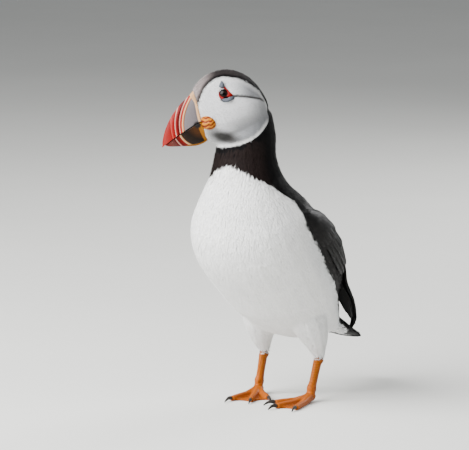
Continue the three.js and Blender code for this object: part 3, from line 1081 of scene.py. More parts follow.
    def drape(self, roots: Array, aims: Array, lengths: Array,
              steps: int) -> Triple:
        """Lines that follow the skin from each root and run straight on where it falls away.

        Args:
            roots: Starting places on the skin.
            aims: Directions in which the lines set out.
            lengths: Length of each line.
            steps: Spans in each line.

        Returns:
            Places, normals and Zone values, steps + 1 for each line.
        """
        place, normal, index = self.nearest(roots)
        heading = flatten(aims, normal)
        path, normals, zones = [place], [normal], [self.zones[self.triangles[index, 0]]]
        step = (lengths / steps)[:, None]
        for _ in range(steps):
            ahead = path[-1] + heading * step
            found, turned, index = self.nearest(ahead)
            away = np.linalg.norm(found - ahead, axis=1, keepdims=True) / step
            turn = -dot(turned, normals[-1])
            hold = np.maximum(rise(away, *self.FALL), rise(turn, *self.TURN))
            found = found + (ahead - found) * hold
            turned = unit(turned + (normals[-1] - turned) * hold)
            heading = flatten(found - path[-1], turned)
            path.append(found)
            normals.append(turned)
            zones.append(self.zones[self.triangles[index, 0]])
        return np.stack(path, 1), np.stack(normals, 1), np.stack(zones, 1)


def lie(points: Array, normals: Array, zones: Array) -> Array:
    """The way the plumage lies at each place, from bill to tail and down the thighs.

    Args:
        points: Places in the frame.
        normals: Normals there.
        zones: Zone values there.

    Returns:
        One direction for each.
    """
    _, _, heading = SPINE.locate(points)
    local = HEAD.local(points)
    sweep = np.stack([-np.ones(len(points)), -0.25 - 0.5 * rise(-local[:, 0], 0, 24),
                      np.zeros(len(points))], -1)
    on_head = HEAD.turned(unit(sweep))
    way = blend(heading, on_head, rise(points[:, 2], 193, 208))
    side = np.sign(points[:, 0])
    tip = np.stack([side * 7.0, np.full(len(points), 93.0), np.full(len(points), 45.0)], -1)
    way = np.where((zones == Zone.WING)[:, None], unit(tip - points), way)
    down = np.array([0.0, 0.25, -1.0])
    way = np.where((zones == Zone.THIGH)[:, None], down, way)
    return flatten(way, normals)


# ---- Plumage ----


@dataclass(frozen=True)
class Plume:
    """The make of one tract's feathers, in millimetres."""

    spacing: float
    length: float
    half_width: float
    lift: float
    barbs: int = 0
    barb_width: float = 0.16
    barb_reach: tuple[float, float] = (0.3, 0.55)
    root: float = -0.1
    reach: float = 1.2
    unrest: float = 6.0
    ridge: float = 0.10
    round: float = 0.18
    steps: int = 3
    shares: tuple[float, ...] = (0.0, 0.35, 0.75, 1.0)
    widths: tuple[float, ...] = (0.45, 1.0, 0.8)


class Unwrap(Enum):
    """Which of the skin's own unwraps gives a tract its places."""

    BODY = "along and round the spine"
    HEAD = "along and round the bill's line"


def unwrapped(points: Array, kind: Unwrap) -> Array:
    """Each root's place on an unwrap of the skin, filling the unit square.

    Args:
        points: The roots.
        kind: The unwrap.

    Returns:
        One place for each root.
    """
    if kind is Unwrap.HEAD:
        local = HEAD.local(points)
        flat = np.stack([np.arctan2(local[:, 2], local[:, 1] + 12), local[:, 0]], -1)
    else:
        length, angle, _ = SPINE.locate(points)
        flat = np.stack([angle, length], -1)
    low, high = flat.min(0), flat.max(0)
    return 0.02 + 0.96 * (flat - low) / (high - low)


@dataclass
class Coat:
    """Lays feathers over the skin, tract by tract."""

    skin: Skin
    markings: Markings
    rng: Chance
    total: int = 0

    PATCH = 0.003
    SIZES = (0.86, 1.14)
    HEIGHTS = (0.88, 1.06)
    COLOUR_AT = 0.6
    ACROSS = np.array([-1.0, -0.55, -0.08, 0.0, 0.08, 0.55, 1.0])
    THICK = 0.22
    ROUND_END = 0.265
    ARCH = np.array([0.0, 0.16, 0.2, 0.42, 0.2, 0.16, 0.0])

    def tract(self, name: str, zones: tuple[Zone, ...], plume: Plume,
              finish: Material, slot: str, unwrap: Unwrap = Unwrap.BODY,
              keep: PerPlace = None, scale: PerPlace = None) -> Piece:
        """Covers some zones with one kind of feather.

        Args:
            name: The piece's name.
            zones: Where the feathers are rooted.
            plume: The feathers' make.
            finish: Their material.
            slot: The record's material slot; not used.
            unwrap: How roots are laid out on the map.
            keep: Function of places that says which roots may stay, or None.
            scale: Function of places that gives each feather's relative size, or None.

        Returns:
            The piece.
        """
        rng = self.rng
        roots, normals, at = self.skin.scatter(zones, plume.spacing, rng, keep)
        count = len(roots)
        size = (np.ones(count) if scale is None else scale(roots)) * rng.uniform(*self.SIZES, count)
        aims = lie(roots, normals, at)
        turn = np.radians(rng.normal(0, plume.unrest, count))[:, None]
        aims = aims * np.cos(turn) + np.cross(normals, aims) * np.sin(turn)
        path, ups, over = self.skin.drape(roots, aims, plume.length * size * plume.reach,
                                          plume.steps)
        cut = self._cuts(at, over, path)
        spot, _, _ = self._stations(path, ups, self.COLOUR_AT * cut[:, None])
        tints = self.markings.colours(spot[:, 0], at, rng)
        parts = [self._vanes(path, ups, size, cut, plume)]
        if plume.barbs:
            parts.append(self._barbs(path, ups, size, cut, plume))
        return self._assemble(name, parts, tints, unwrapped(roots, unwrap), finish)

    def _cuts(self, at: Array, over: Array, path: Array) -> Array:
        """The share of each line that stays off a neighbouring wing, bare leg or dark collar.

        Args:
            at: Zone of each root.
            over: Zones along each line.
            path: Places along each feather's line.

        Returns:
            Shares from 0 to 1.
        """
        steps = over.shape[1] - 1
        cut = np.ones(len(at))
        for zone in (Zone.WING, Zone.BARE):
            strays = (over == zone) & (at != zone)[:, None]
            first = np.where(strays.any(1), strays.argmax(1), steps + 1)
            cut = np.minimum(cut, np.clip((first - 0.4) / steps, 0.3, 1))
        face = at == Zone.FACE
        if face.any():
            depth = self.markings.face_depth(path[face].reshape(-1, 3)).reshape(-1, steps + 1)
            out = (depth < 0) & (depth[:, :1] > 0)
            first = np.maximum(out.argmax(1), 1)
            row = np.arange(len(first))
            before, after = depth[row, first - 1], depth[row, first]
            share = (first - 1 + before / np.maximum(before - after, 1e-6)) / steps
            cut[face] = np.where(out.any(1), np.clip(share, 0.2, 1), cut[face])
        return cut

    def _stations(self, path: Array, ups: Array, shares: Array) -> Triple:
        """Places, normals and headings at shares of each line, one row for each feather.

        Args:
            path: Places along each feather's line.
            ups: Normals along it.
            shares: Shares of each line.

        Returns:
            Places, normals and headings.
        """
        steps = path.shape[1] - 1
        at = np.clip(shares * steps, 0, steps - 1e-6)
        low = at.astype(int)
        part = (at - low)[..., None]
        row = np.arange(len(path))[:, None]
        here, there = path[row, low], path[row, low + 1]
        up = unit(ups[row, low] * (1 - part) + ups[row, low + 1] * part)
        return here + (there - here) * part, up, unit(there - here)

    def _vanes(self, path: Array, ups: Array, size: Array, cut: Array,
               plume: Plume) -> Part:
        """Slightly arched vanes that end in a point.

        Args:
            path: Places along each feather's line.
            ups: Normals along it.
            size: Relative size of each.
            cut: Share of each line to keep.
            plume: The feathers' make.

        Returns:
            Arrays of the vanes' meshes.
        """
        count = len(path)
        shares = np.array(plume.shares)
        spans = len(shares) - 1
        rows = (shares / plume.reach)[None] * cut[:, None]
        place, up, ahead = self._stations(path, ups, rows)
        side = np.cross(up, ahead)
        height = plume.root + (plume.lift - plume.root) * shares**0.6
        height = height[None] * self.rng.uniform(*self.HEIGHTS, count)[:, None]
        centre = place + up * height[..., None]
        wide = np.array(plume.widths)[None] * plume.half_width * size[:, None]
        sag = up[:, :-1] * (plume.ridge * wide)[..., None]
        out = side[:, :-1] * wide[..., None]
        middle = centre[:, :-1]
        body = np.stack([middle + out - sag, middle, middle - out - sag], 2)
        lean = side[:, :-1] * plume.round
        facing = np.stack([up[:, :-1] + lean, up[:, :-1], up[:, :-1] - lean], 2)
        vertices = np.concatenate([body.reshape(count, -1, 3), centre[:, -1:]], 1)
        facing = np.concatenate([facing.reshape(count, -1, 3), up[:, -1:]], 1)
        each = vertices.shape[1]
        quads = []
        for k in range(spans - 1):
            a = k * 3
            quads += [(a, a + 1, a + 4, a + 3), (a + 1, a + 2, a + 5, a + 4)]
        last = (spans - 1) * 3
        ends = [(last, last + 1, each - 1), (last + 1, last + 2, each - 1)]
        start = (np.arange(count) * each)[:, None, None]
        across = np.tile(np.r_[np.tile([-1.0, 0, 1], spans), 0.0], (count, 1))
        along = np.tile(np.r_[np.repeat(shares[:-1], 3), 1.0], (count, 1))
        return {"vertices": vertices.reshape(-1, 3), "normals": unit(facing.reshape(-1, 3)),
                "quads": (np.array(quads).reshape(1, -1, 4) + start).reshape(-1, 4),
                "triangles": (np.array(ends)[None] + start).reshape(-1, 3),
                "across": across.ravel(), "along": along.ravel(),
                "owner": np.repeat(np.arange(count), each)}

    def _barbs(self, path: Array, ups: Array, size: Array, cut: Array,
               plume: Plume) -> Part:
        """Loose barbs, each one slender triangle, fanned round each feather's end.

        Args:
            path: Places along each feather's line.
            ups: Normals along it.
            size: Relative size of each.
            cut: Share of each line to keep.
            plume: The feathers' make.

        Returns:
            Arrays of the barbs' meshes.
        """
        rng, n, b = self.rng, len(path), plume.barbs
        begin = rng.uniform(0.1, 0.8, (n, b))
        end = np.minimum(begin + rng.uniform(*plume.barb_reach, (n, b)), plume.reach)
        spread = np.linspace(-1, 1, b)[None] + rng.normal(0, 0.25, (n, b))
        low, up, ahead = self._stations(path, ups, begin / plume.reach * cut[:, None])
        high, up2, ahead2 = self._stations(path, ups, end / plume.reach * cut[:, None])
        side, side2 = np.cross(up, ahead), np.cross(up2, ahead2)
        wide = plume.half_width * size[:, None]
        height = plume.root + (plume.lift - plume.root) * begin**0.6 + 0.05
        height2 = plume.root + (plume.lift - plume.root) * end**0.6 + 0.05
        base = low + side * (spread * wide * 0.8)[..., None] + up * height[..., None]
        tip = high + side2 * ((spread + rng.normal(0, 0.22, (n, b))) * wide)[..., None]
        tip += up2 * (height2 * rng.uniform(0.9, 1.15, (n, b)))[..., None]
        half = side * (plume.barb_width / 2)
        vertices = np.stack([base - half, base + half, tip], 2)
        lean = side * (plume.round * spread)[..., None]
        facing = np.stack([up + lean, up + lean, up2 + lean], 2)
        start = np.arange(n * b)[:, None] * 3
        across = np.clip(np.stack([spread, spread, spread], -1), -1, 1)
        along = np.stack([begin, begin, np.minimum(end, 1.0)], -1)
        return {"vertices": vertices.reshape(-1, 3), "normals": unit(facing.reshape(-1, 3)),
                "quads": np.zeros((0, 4), int), "triangles": start + np.array([[0, 2, 1]]),
                "across": across.ravel(), "along": along.ravel(),
                "owner": np.repeat(np.arange(n), b * 3)}

    def _assemble(self, name: str, parts: list[Part], tints: Array, places: Array,
                  finish: Material) -> Piece:
        """One piece from its parts, with its colours and its map.

        Args:
            name: The piece's name.
            parts: Arrays of its meshes.
            tints: Colour of each feather.
            places: Place of each on the map.
            finish: The material.

        Returns:
            The piece.
        """
        shift, quads, triangles = 0, [], []
        for part in parts:
            quads.append(part["quads"] + shift)
            triangles.append(part["triangles"] + shift)
            shift += len(part["vertices"])
        joined = {key: np.concatenate([part[key] for part in parts])
                  for key in ("vertices", "across", "along", "owner")}
        made = make_mesh(name, joined["vertices"], np.concatenate(quads),
                         np.concatenate(triangles))
        if "normals" in parts[0]:
            facing = np.concatenate([part["normals"] for part in parts])
            made.data.normals_split_custom_set_from_vertices(facing)
        tone = self.rng.random(len(tints))
        owner = joined["owner"]
        set_colour(made, "plumage", tints[owner])
        set_values(made, "vane", "FLOAT_VECTOR",
                   np.stack([joined["across"], joined["along"], tone[owner]], -1))
        patch = np.stack([joined["across"] * 0.5, joined["along"] - 0.5], -1) * self.PATCH
        set_map(made, "OFBake", np.clip(places[owner] + patch, 0, 1))
        made.data.materials.append(finish)
        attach(made, "root")
        triangles_made = 2 * sum(map(len, quads)) + sum(map(len, triangles))
        self.total += triangles_made
        LOG.info("%s: %d feathers, %d triangles", name, len(tints), triangles_made)
        return made

    def quills(self, name: str, lines: list[Pair], widths: list[tuple],
               colour: Colour, finish: Material, slot: str) -> Piece:
        """Large feathers, each a closed thin vane with a shaft.

        Args:
            name: The piece's name.
            lines: Places and normals along each feather's shaft.
            widths: Reach to the left and right of each shaft.
            colour: Their colour.
            finish: Their material.
            slot: The record's material slot; not used.

        Returns:
            The piece.
        """
        parts = []
        columns = self.ACROSS
        for index, ((line, ups), (left, right)) in enumerate(zip(lines, widths)):
            rows = len(line)
            share = np.linspace(0, 1, rows)
            ahead = unit(np.gradient(line, axis=0))
            up = flatten(ups, ahead)
            side = np.cross(up, ahead)
            end = np.clip((1 - share) / self.ROUND_END, 0, 1)
            grow = np.clip(share / 0.12, 0, 1) ** 0.5 * 0.55 + 0.45
            profile = np.sqrt(np.clip(1 - (1 - end) ** 2, 0, 1)) * grow
            ragged = 1 - 0.10 * self.rng.random((rows, 2)) ** 3
            left, right = (np.broadcast_to(w, (rows,))[:, None] for w in (left, right))
            reach = np.where(columns[None] < 0, right * ragged[:, :1], left * ragged[:, 1:])
            offset = columns[None] * reach * profile[:, None]
            top = line[:, None] + side[:, None] * offset[..., None]
            height = self.ARCH[None] * np.minimum(profile, 1)[:, None] * 0.9
            top = top + up[:, None] * height[..., None]
            under = top - up[:, None] * self.THICK * np.maximum(profile, 0.15)[:, None, None]
            ring = np.concatenate([top, under[:, ::-1]], 1)
            wide = ring.shape[1]
            quads = grid_faces(rows, wide, closed=True)
            caps = []
            for start, flip in ((0, False), ((rows - 1) * wide, True)):
                for k in range(len(columns) - 1):
                    quad = (start + k, start + k + 1, start + wide - 2 - k, start + wide - 1 - k)
                    caps.append(quad[::-1] if flip else quad)
            across = np.tile(np.r_[columns, columns[::-1]], rows)
            parts.append({"vertices": ring.reshape(-1, 3),
                          "quads": np.vstack([quads, np.array(caps)])[:, ::-1],
                          "triangles": np.zeros((0, 3), int), "across": across,
                          "along": np.repeat(share, wide),
                          "owner": np.full(rows * wide, index)})
        tints = np.tile(np.array(colour), (len(lines), 1))
        tints *= self.rng.uniform(0.75, 1.3, len(lines))[:, None]
        made = self._assemble(name, parts, tints, np.full((len(lines), 2), 0.5), finish)
        self._quill_map(made, parts, len(lines))
        return made

    @staticmethod
    def _quill_map(made: Piece, parts: list[Part], count: int) -> None:
        """Lays each large feather out whole, side by side, upper face beside the under one.

        Args:
            made: The piece.
            parts: Arrays of its feathers.
            count: Number of feathers.
        """
        columns = 2 * len(Coat.ACROSS)
        places = []
        for index, part in enumerate(parts):
            rows = len(part["vertices"]) // columns
            across = np.tile(np.linspace(0.03, 0.97, columns), rows)
            places.append(np.stack([(index + across) / count, 0.02 + 0.96 * part["along"]], -1))
        made.data.uv_layers.remove(made.data.uv_layers["OFBake"])
        set_map(made, "OFBake", np.concatenate(places))


@dataclass
class WingDress:
    """Lays out one folded wing's rows of large feathers over the skin."""

    skin: Skin
    side: float
    rng: Chance

    EDGES = ((85, 92, 108), (94, 89, 127), (115.6, 92, 148), (143.9, 95, 163),
             (169.3, 102, 170), (191.6, 114, 172), (207.9, 128, 168), (230, 140, 172))
    BLADE = ((-17.5, 103, 25, 18), (-36.5, 91, 22.5, 19), (-53.5, 77, 18, 16.5),
             (-69.5, 63.5, 13, 11), (-85.5, 50, 8, 5), (-92, 45.9, 6.4, 1.6))
    FACE = (0.55, -0.38, 0.74)
    STATIONS = 16
    OUTSIDE = 120.0
    UNEVEN = 1.6

    def spot(self, length: float, share: float) -> tuple[float, float]:
        """Body length and angle at a share of the way from the wing's lower to its upper edge.

        Args:
            length: Body length.
            share: Share of the way.

        Returns:
            Length and angle.
        """
        along, low, high = zip(*self.EDGES)
        low, high = np.interp(length, along, low), np.interp(length, along, high)
        return length, self.side * (low + (high - low) * share)

    @staticmethod
    def _even(rows: Array) -> Array:
        """A line of places or directions with its small steps smoothed out.

        Args:
            rows: Places or directions.

        Returns:
            The smoothed rows.
        """
        kernel = np.array([1, 2, 3, 2, 1]) / 9
        padded = np.vstack([rows[:1]] * 2 + [rows] + [rows[-1:]] * 2)
        return np.stack([np.convolve(padded[:, k], kernel, "valid") for k in range(3)], -1)

    def line(self, start: tuple[float, float], end: tuple[float, float], lift0: float,
             lift1: float) -> Pair:
        """A shaft between two (length, share) spots, held above the skin.

        Args:
            start: Body length and share of the root.
            end: The same of the tip.
            lift0: Height over the skin at the root.
            lift1: Height at the tip.

        Returns:
            Places and normals.
        """
        starts, ways = [], []
        for t in np.linspace(0, 1, self.STATIONS):
            length = start[0] + (end[0] - start[0]) * t
            share = start[1] + (end[1] - start[1]) * t
            place, away = SPINE.place(*self.spot(length, share), self.OUTSIDE)
            starts.append(place)
            ways.append(-away)
        place, normal = self.skin.cast(np.array(starts), np.array(ways))
        normal = unit(self._even(normal) - np.array(ways))
        lift = np.linspace(lift0, lift1, self.STATIONS)[:, None]
        return self._even(place) + normal * lift, normal

    def row(self, count: int, roots: tuple[float, float], ends: tuple[float, float],
            shares: tuple[float, float], drop: float, lift: float, half: float) -> Shafts:
        """One row of feathers across the wing, from its lower to its upper edge.

        Args:
            count: Number of feathers.
            roots: Body lengths of the lowest and the highest feather's root.
            ends: Body lengths of the lowest and the highest feather's end.
            shares: Where the lowest and the highest lie between the wing's edges.
            drop: How far each runs down towards the lower edge, as such a share.
            lift: Height of the row over the skin.
            half: Half the width of a feather.

        Returns:
            Shaft lines and widths.
        """
        lines = []
        for s in np.linspace(0, 1, count):
            share = shares[0] + (shares[1] - shares[0]) * s
            start = (roots[0] + (roots[1] - roots[0]) * s, share)
            reach = ends[0] + (ends[1] - ends[0]) * s
            reach += self.rng.uniform(-self.UNEVEN, self.UNEVEN)
            end = (reach, share - drop * s)
            lines.append(self.line(start, end, 0.3 * s - 0.2, lift + 0.7 * s))
        return lines, [(half, half)] * count

    def primaries(self, count: int = 10) -> Shafts:
        """Long feathers over the free blade, the lowest reaching its tip.

        Args:
            count: Number of feathers.

        Returns:
            Shaft lines and widths.
        """
        blade = curve(self.BLADE, 8)
        flip = np.array([self.side, 1.0, 1.0])
        path = np.stack([blade[:, 2], -blade[:, 0], blade[:, 1]], -1) * flip
        line = np.c_[path, blade[:, 3]]
        face = unit(np.array([self.FACE[0], -self.FACE[1], self.FACE[2]]) * flip)
        lines, widths = [], []
        for k in range(count):
            s = k / (count - 1)
            at = along_curve(line, np.linspace(0.0, 1.0 - 0.52 * s, self.STATIONS))
            heading = unit(np.gradient(at[:, :3], axis=0))
            over = unit(np.cross(heading, face)) * self.side
            spot = at[:, :3] + over * (at[:, 3:] * (0.80 - 1.50 * s))
            place, _ = self.skin.cast(spot + face * 30, np.tile(-face, (self.STATIONS, 1)))
            run = np.linspace(0, 1, self.STATIONS)
            lift = (0.5 + 1.9 * s) * (1 - 0.35 * run)
            lift = (lift * rise(run, 0, 0.3) - 0.6 * (1 - rise(run, 0, 0.25)))[:, None]
            lines.append((self._even(place) + face * lift, np.tile(face, (self.STATIONS, 1))))
            widths.append((1.3 + 0.20 * at[:, 3], 1.3 + 0.20 * at[:, 3]))
        return lines, widths

    def rows(self) -> dict[str, Shafts]:
        """Shaft lines and widths of each row, keyed by the row's name.

        Returns:
            A pair for each name.
        """
        return {"primaries": self.primaries(),
                "secondaries": self.row(13, (126, 132), (160, 190), (0.10, 0.94), 0.10, 0.9, 3.9),
                "coverts": self.row(14, (112, 118), (138, 151), (0.09, 0.94), 0.08, 1.3, 3.3),
                "upper_coverts": self.row(14, (100, 106), (121, 132), (0.10, 0.93), 0.06, 1.5,
                                          3.0)}


def tail_lines(count: int = 14, stations: int = 12) -> Shafts:
    """Shafts and widths of the tail fan, the middle pair on top.

    Args:
        count: Number of feathers.
        stations: Places along each.

    Returns:
        Shaft lines and widths.
    """
    ahead, above = (-46.0, -64.0, -80.0, -92.0, -100.0), (64.2, 54.6, 44.6, 38.2, 35.6)
    lines, widths = [], []
    for k in sorted(np.arange(count) - (count - 1) / 2, key=lambda v: -abs(v)):
        shares = np.linspace(0, 1, stations)
        run = -56.0 - (43.8 - 0.24 * k * k) * shares
        left = k * (1.15 + 0.75 * shares)
        height = np.interp(-run, -np.array(ahead), above) + 0.9 - 0.14 * abs(k)
        height -= 0.011 * left**2
        lines.append((np.stack([left, -run, height], -1),
                      np.tile(unit(np.array([0.03 * k, 0.45, 1.0])), (stations, 1))))
        widths.append((3.1, 3.1))
    return lines, widths


# ---- Finishes ----


@dataclass
class Graph:
    """Writes a node tree in a few words."""

    tree: bpy.types.NodeTree

    def add(self, kind: str, settings: dict | None = None, **inputs: Input) -> bpy.types.Node:
        """A node with settings, whose inputs are constants or other nodes' outputs.

        Args:
            kind: Blender's name of the node type.
            settings: Properties of the node.
            **inputs: As in fill.

        Returns:
            The node.
        """
        made = self.tree.nodes.new(kind)
        for key, value in (settings or {}).items():
            setattr(made, key, value)
        self.fill(made, **inputs)
        return made

    def fill(self, node: bpy.types.Node, **inputs: Input) -> None:
        """Links or sets a node's inputs.

        Args:
            node: The node.
            **inputs: Values or sockets by input name, with _ for a space, or i0, i1, ...
        """
        for key, value in inputs.items():
            numbered = key[0] == "i" and key[1:].isdigit()
            socket = node.inputs[int(key[1:]) if numbered else key.replace("_", " ")]
            if isinstance(value, Socket):
                self.tree.links.new(value, socket)
            elif isinstance(value, tuple) and len(value) == 3 and socket.type == "RGBA":
                socket.default_value = (*value, 1)
            else:
                socket.default_value = value

    def math(self, operation: str, a: Input, b: Input = 0.0) -> Socket:
        """A sum of one or two values."""
        return self.add("ShaderNodeMath", {"operation": operation}, i0=a, i1=b).outputs[0]

    def total(self, a: Input, b: Input) -> Socket:
        """Two values added."""
        return self.math("ADD", a, b)

    def product(self, first: Input, *others: Input) -> Socket:
        """Values multiplied together, from the first to the last.

        Args:
            first: The first value.
            *others: The rest.

        Returns:
            The product.
        """
        for other in others:
            first = self.math("MULTIPLY", first, other)
        return first

    def bump(self, strength: float, distance: float, height: Input) -> Socket:
        """A normal that follows a height."""
        return self.add("ShaderNodeBump", {}, Strength=strength, Distance=distance,
                        Height=height).outputs[0]

    def span(self, value: Input, low: float, high: float, to_low: float = 0.0,
             to_high: float = 1.0) -> Socket:
        """A value mapped smoothly from one range to another and held inside it.

        Args:
            value: What is mapped.
            low: Start of its range.
            high: End of its range.
            to_low: What the start becomes.
            to_high: What the end becomes.

        Returns:
            The mapped value.
        """
        made = self.add("ShaderNodeMapRange", {"interpolation_type": "SMOOTHSTEP"}, Value=value,
                        From_Min=low, From_Max=high, To_Min=to_low, To_Max=to_high)
        return made.outputs[0]

    def mix(self, share: Input, a: Input, b: Input) -> Socket:
        """Two colours mixed."""
        return self.add("ShaderNodeMix", {"data_type": "RGBA"}, i0=share, i6=a, i7=b).outputs[2]

    def times(self, colour: Input, factor: Input) -> Socket:
        """A colour made lighter or darker by a factor."""
        return self.add("ShaderNodeVectorMath", {"operation": "SCALE"}, i0=colour,
                        Scale=factor).outputs[0]

    def ramp(self, value: Input, stops: tuple[tuple[float, Colour], ...], low: float,
             high: float) -> Socket:
        """Colours along a value; each stop is a value and a colour.

        Args:
            value: What is looked up.
            stops: Values and their colours.
            low: Value at the ramp's start.
            high: Value at its end.

        Returns:
            The colour.
        """
        share = self.add("ShaderNodeMapRange", {}, Value=value, From_Min=low, From_Max=high)
        made = self.add("ShaderNodeValToRGB", {}, Fac=share.outputs[0])
        points = made.color_ramp.elements
        while len(points) < len(stops):
            points.new(0.5)
        for point, (at, colour) in zip(points, stops):
            point.position = (at - low) / (high - low)
            point.color = (*colour, 1)
        return made.outputs[0]

    def stored(self, name: str, output: str = "Fac") -> Socket:
        """An attribute of the mesh."""
        return self.add("ShaderNodeAttribute", {"attribute_name": name}).outputs[output]

    def parts(self, name: str) -> bpy.types.bpy_prop_collection:
        """The three numbers of an attribute of the mesh."""
        return self.add("ShaderNodeSeparateXYZ", {}, Vector=self.stored(name, "Vector")).outputs

    def place(self) -> Socket:
        """Object coordinates."""
        return self.add("ShaderNodeTexCoord").outputs["Object"]


class Effects:
    """Node groups shared by the finishes, made once."""

    SOCKETS = (("Vector", "Vector", "INPUT"), ("Size", "Float", "INPUT"),
               ("Strength", "Float", "INPUT"), ("Factor", "Float", "OUTPUT"),
               ("Height", "Float", "OUTPUT"))

    def __init__(self) -> None:
        """Makes the groups."""
        self.grain = bpy.data.node_groups.new("grain", "ShaderNodeTree")
        for label, kind, way in self.SOCKETS:
            self.grain.interface.new_socket(label, in_out=way, socket_type="NodeSocket" + kind)
        self._grain(Graph(self.grain))

    @staticmethod
    def _grain(g: Graph) -> None:
        """Mottling round 1 and a matching height, at a size in millimetres.

        Args:
            g: The group's writer.
        """
        ins = g.add("NodeGroupInput").outputs
        scale = g.math("DIVIDE", 1000.0, ins["Size"])
        noise = g.add("ShaderNodeTexNoise", {}, Vector=ins["Vector"], Scale=scale, Detail=3.0,
                      Roughness=0.6).outputs[0]
        wide = g.product(g.math("SUBTRACT", noise, 0.5), g.product(ins["Strength"], 2.0))
        g.add("NodeGroupOutput", {}, Factor=g.total(wide, 1.0), Height=noise)

    def grained(self, g: Graph, size: float, strength: float,
                place: Socket | None = None) -> bpy.types.NodeOutputs:
        """The Factor and Height of a grain group set to a size and strength."""
        return g.add("ShaderNodeGroup", {"node_tree": self.grain}, Vector=place or g.place(),
                     Size=size, Strength=strength).outputs


def begin(name: str) -> tuple[Material, Graph, bpy.types.Node]:
    """A material with an empty Principled shader.

    Args:
        name: The material's name.

    Returns:
        The material, its writer and the shader.
    """
    made = bpy.data.materials.new(name)
    made.use_nodes = True
    made.node_tree.nodes.clear()
    g = Graph(made.node_tree)
    shader = g.add("ShaderNodeBsdfPrincipled")
    g.add("ShaderNodeOutputMaterial", {}, Surface=shader.outputs[0])
    return made, g, shader


@dataclass(frozen=True)
class FeatherFinish:
    """Feathers that take their colour from the plumage marks."""

    name: str
    roughness: float = 0.85
    specular: float = 0.2
    root_dark: float = 0.72
    tone: float = 0.10
    rim: Colour = (0.05, 0.04, 0.036)
    rim_share: float = 0.0
    barbs: float = 0.0

    def material(self, effects: Effects) -> Material:
        """The finish as a material.

        Args:
            effects: The shared node groups.

        Returns:
            The material.
        """
        made, g, shader = begin(self.name)
        across, along, tone = g.parts("vane")
        light = g.product(g.span(along, 0.1, 0.9, self.root_dark, 1.0),
                          g.total(g.product(tone, 2 * self.tone), 1.0 - self.tone),
                          effects.grained(g, 1.6, 0.10)["Factor"],
                          effects.grained(g, 14.0, 0.08)["Factor"])
        colour = g.times(g.stored("plumage", "Color"), light)
        if self.rim_share:
            edge = g.math("MAXIMUM", g.span(g.math("ABSOLUTE", across), 0.6, 1.0),
                          g.span(along, 0.82, 1.0))
            colour = g.mix(g.product(edge, self.rim_share), colour, self.rim)
        g.fill(shader, Base_Color=colour, Roughness=self.roughness,
               Specular_IOR_Level=self.specular)
        if self.barbs:
            slant = g.math("SUBTRACT", g.product(along, 60.0),
                           g.product(g.math("ABSOLUTE", across), 9.0))
            wave = g.math("SINE", g.product(slant, 6.283))
            g.fill(shader, Normal=g.bump(self.barbs, 0.0003, wave))
        return made


@dataclass(frozen=True)
class SkinFinish:
    """Skin: down under the feathers, orange scaled skin on legs and feet."""

    name: str = "skin"

    def material(self, effects: Effects) -> Material:
        """The finish as a material.

        Args:
            effects: The shared node groups.

        Returns:
            The material.
        """
        made, g, shader = begin(self.name)
        bare = g.stored("bare")
        run, on_toe, _ = g.parts("scute")
        place = g.place()
        net = g.add("ShaderNodeTexVoronoi", {"feature": "DISTANCE_TO_EDGE"}, Vector=place,
                    Scale=820.0)
        net = g.span(net.outputs["Distance"], 0.0, 0.16)
        bars = g.span(g.math("ABSOLUTE", g.math("SINE", g.product(run, 1.9))), 0.0, 0.4)
        relief = g.total(g.product(bars, on_toe),
                         g.product(net, g.math("SUBTRACT", 1.0, on_toe)))
        light = g.product(g.span(relief, 0.0, 1.0, 0.62, 1.05),
                          effects.grained(g, 2.2, 0.16, place)["Factor"])
        down = g.product(effects.grained(g, 1.2, 0.25, place)["Factor"], 0.85)
        share = g.add("ShaderNodeMix", {"data_type": "FLOAT"}, i0=bare, i2=down, i3=light)
        g.fill(shader, Base_Color=g.times(g.stored("plumage", "Color"), share.outputs[0]),
               Roughness=g.span(bare, 0.0, 1.0, 0.9, 0.46), Specular_IOR_Level=0.15,
               Normal=g.bump(0.6, 0.0004, g.product(relief, bare)))
        return made


RED = (0.19, 0.0006, 0.0003)
DEEP_RED = (0.070, 0.0004, 0.0003)
CREAM = (0.43, 0.26, 0.13)
GROOVE = (0.40, 0.22, 0.17)
SLATE = (0.090, 0.080, 0.084)
PINK_TIP = (0.185, 0.0065, 0.0040)


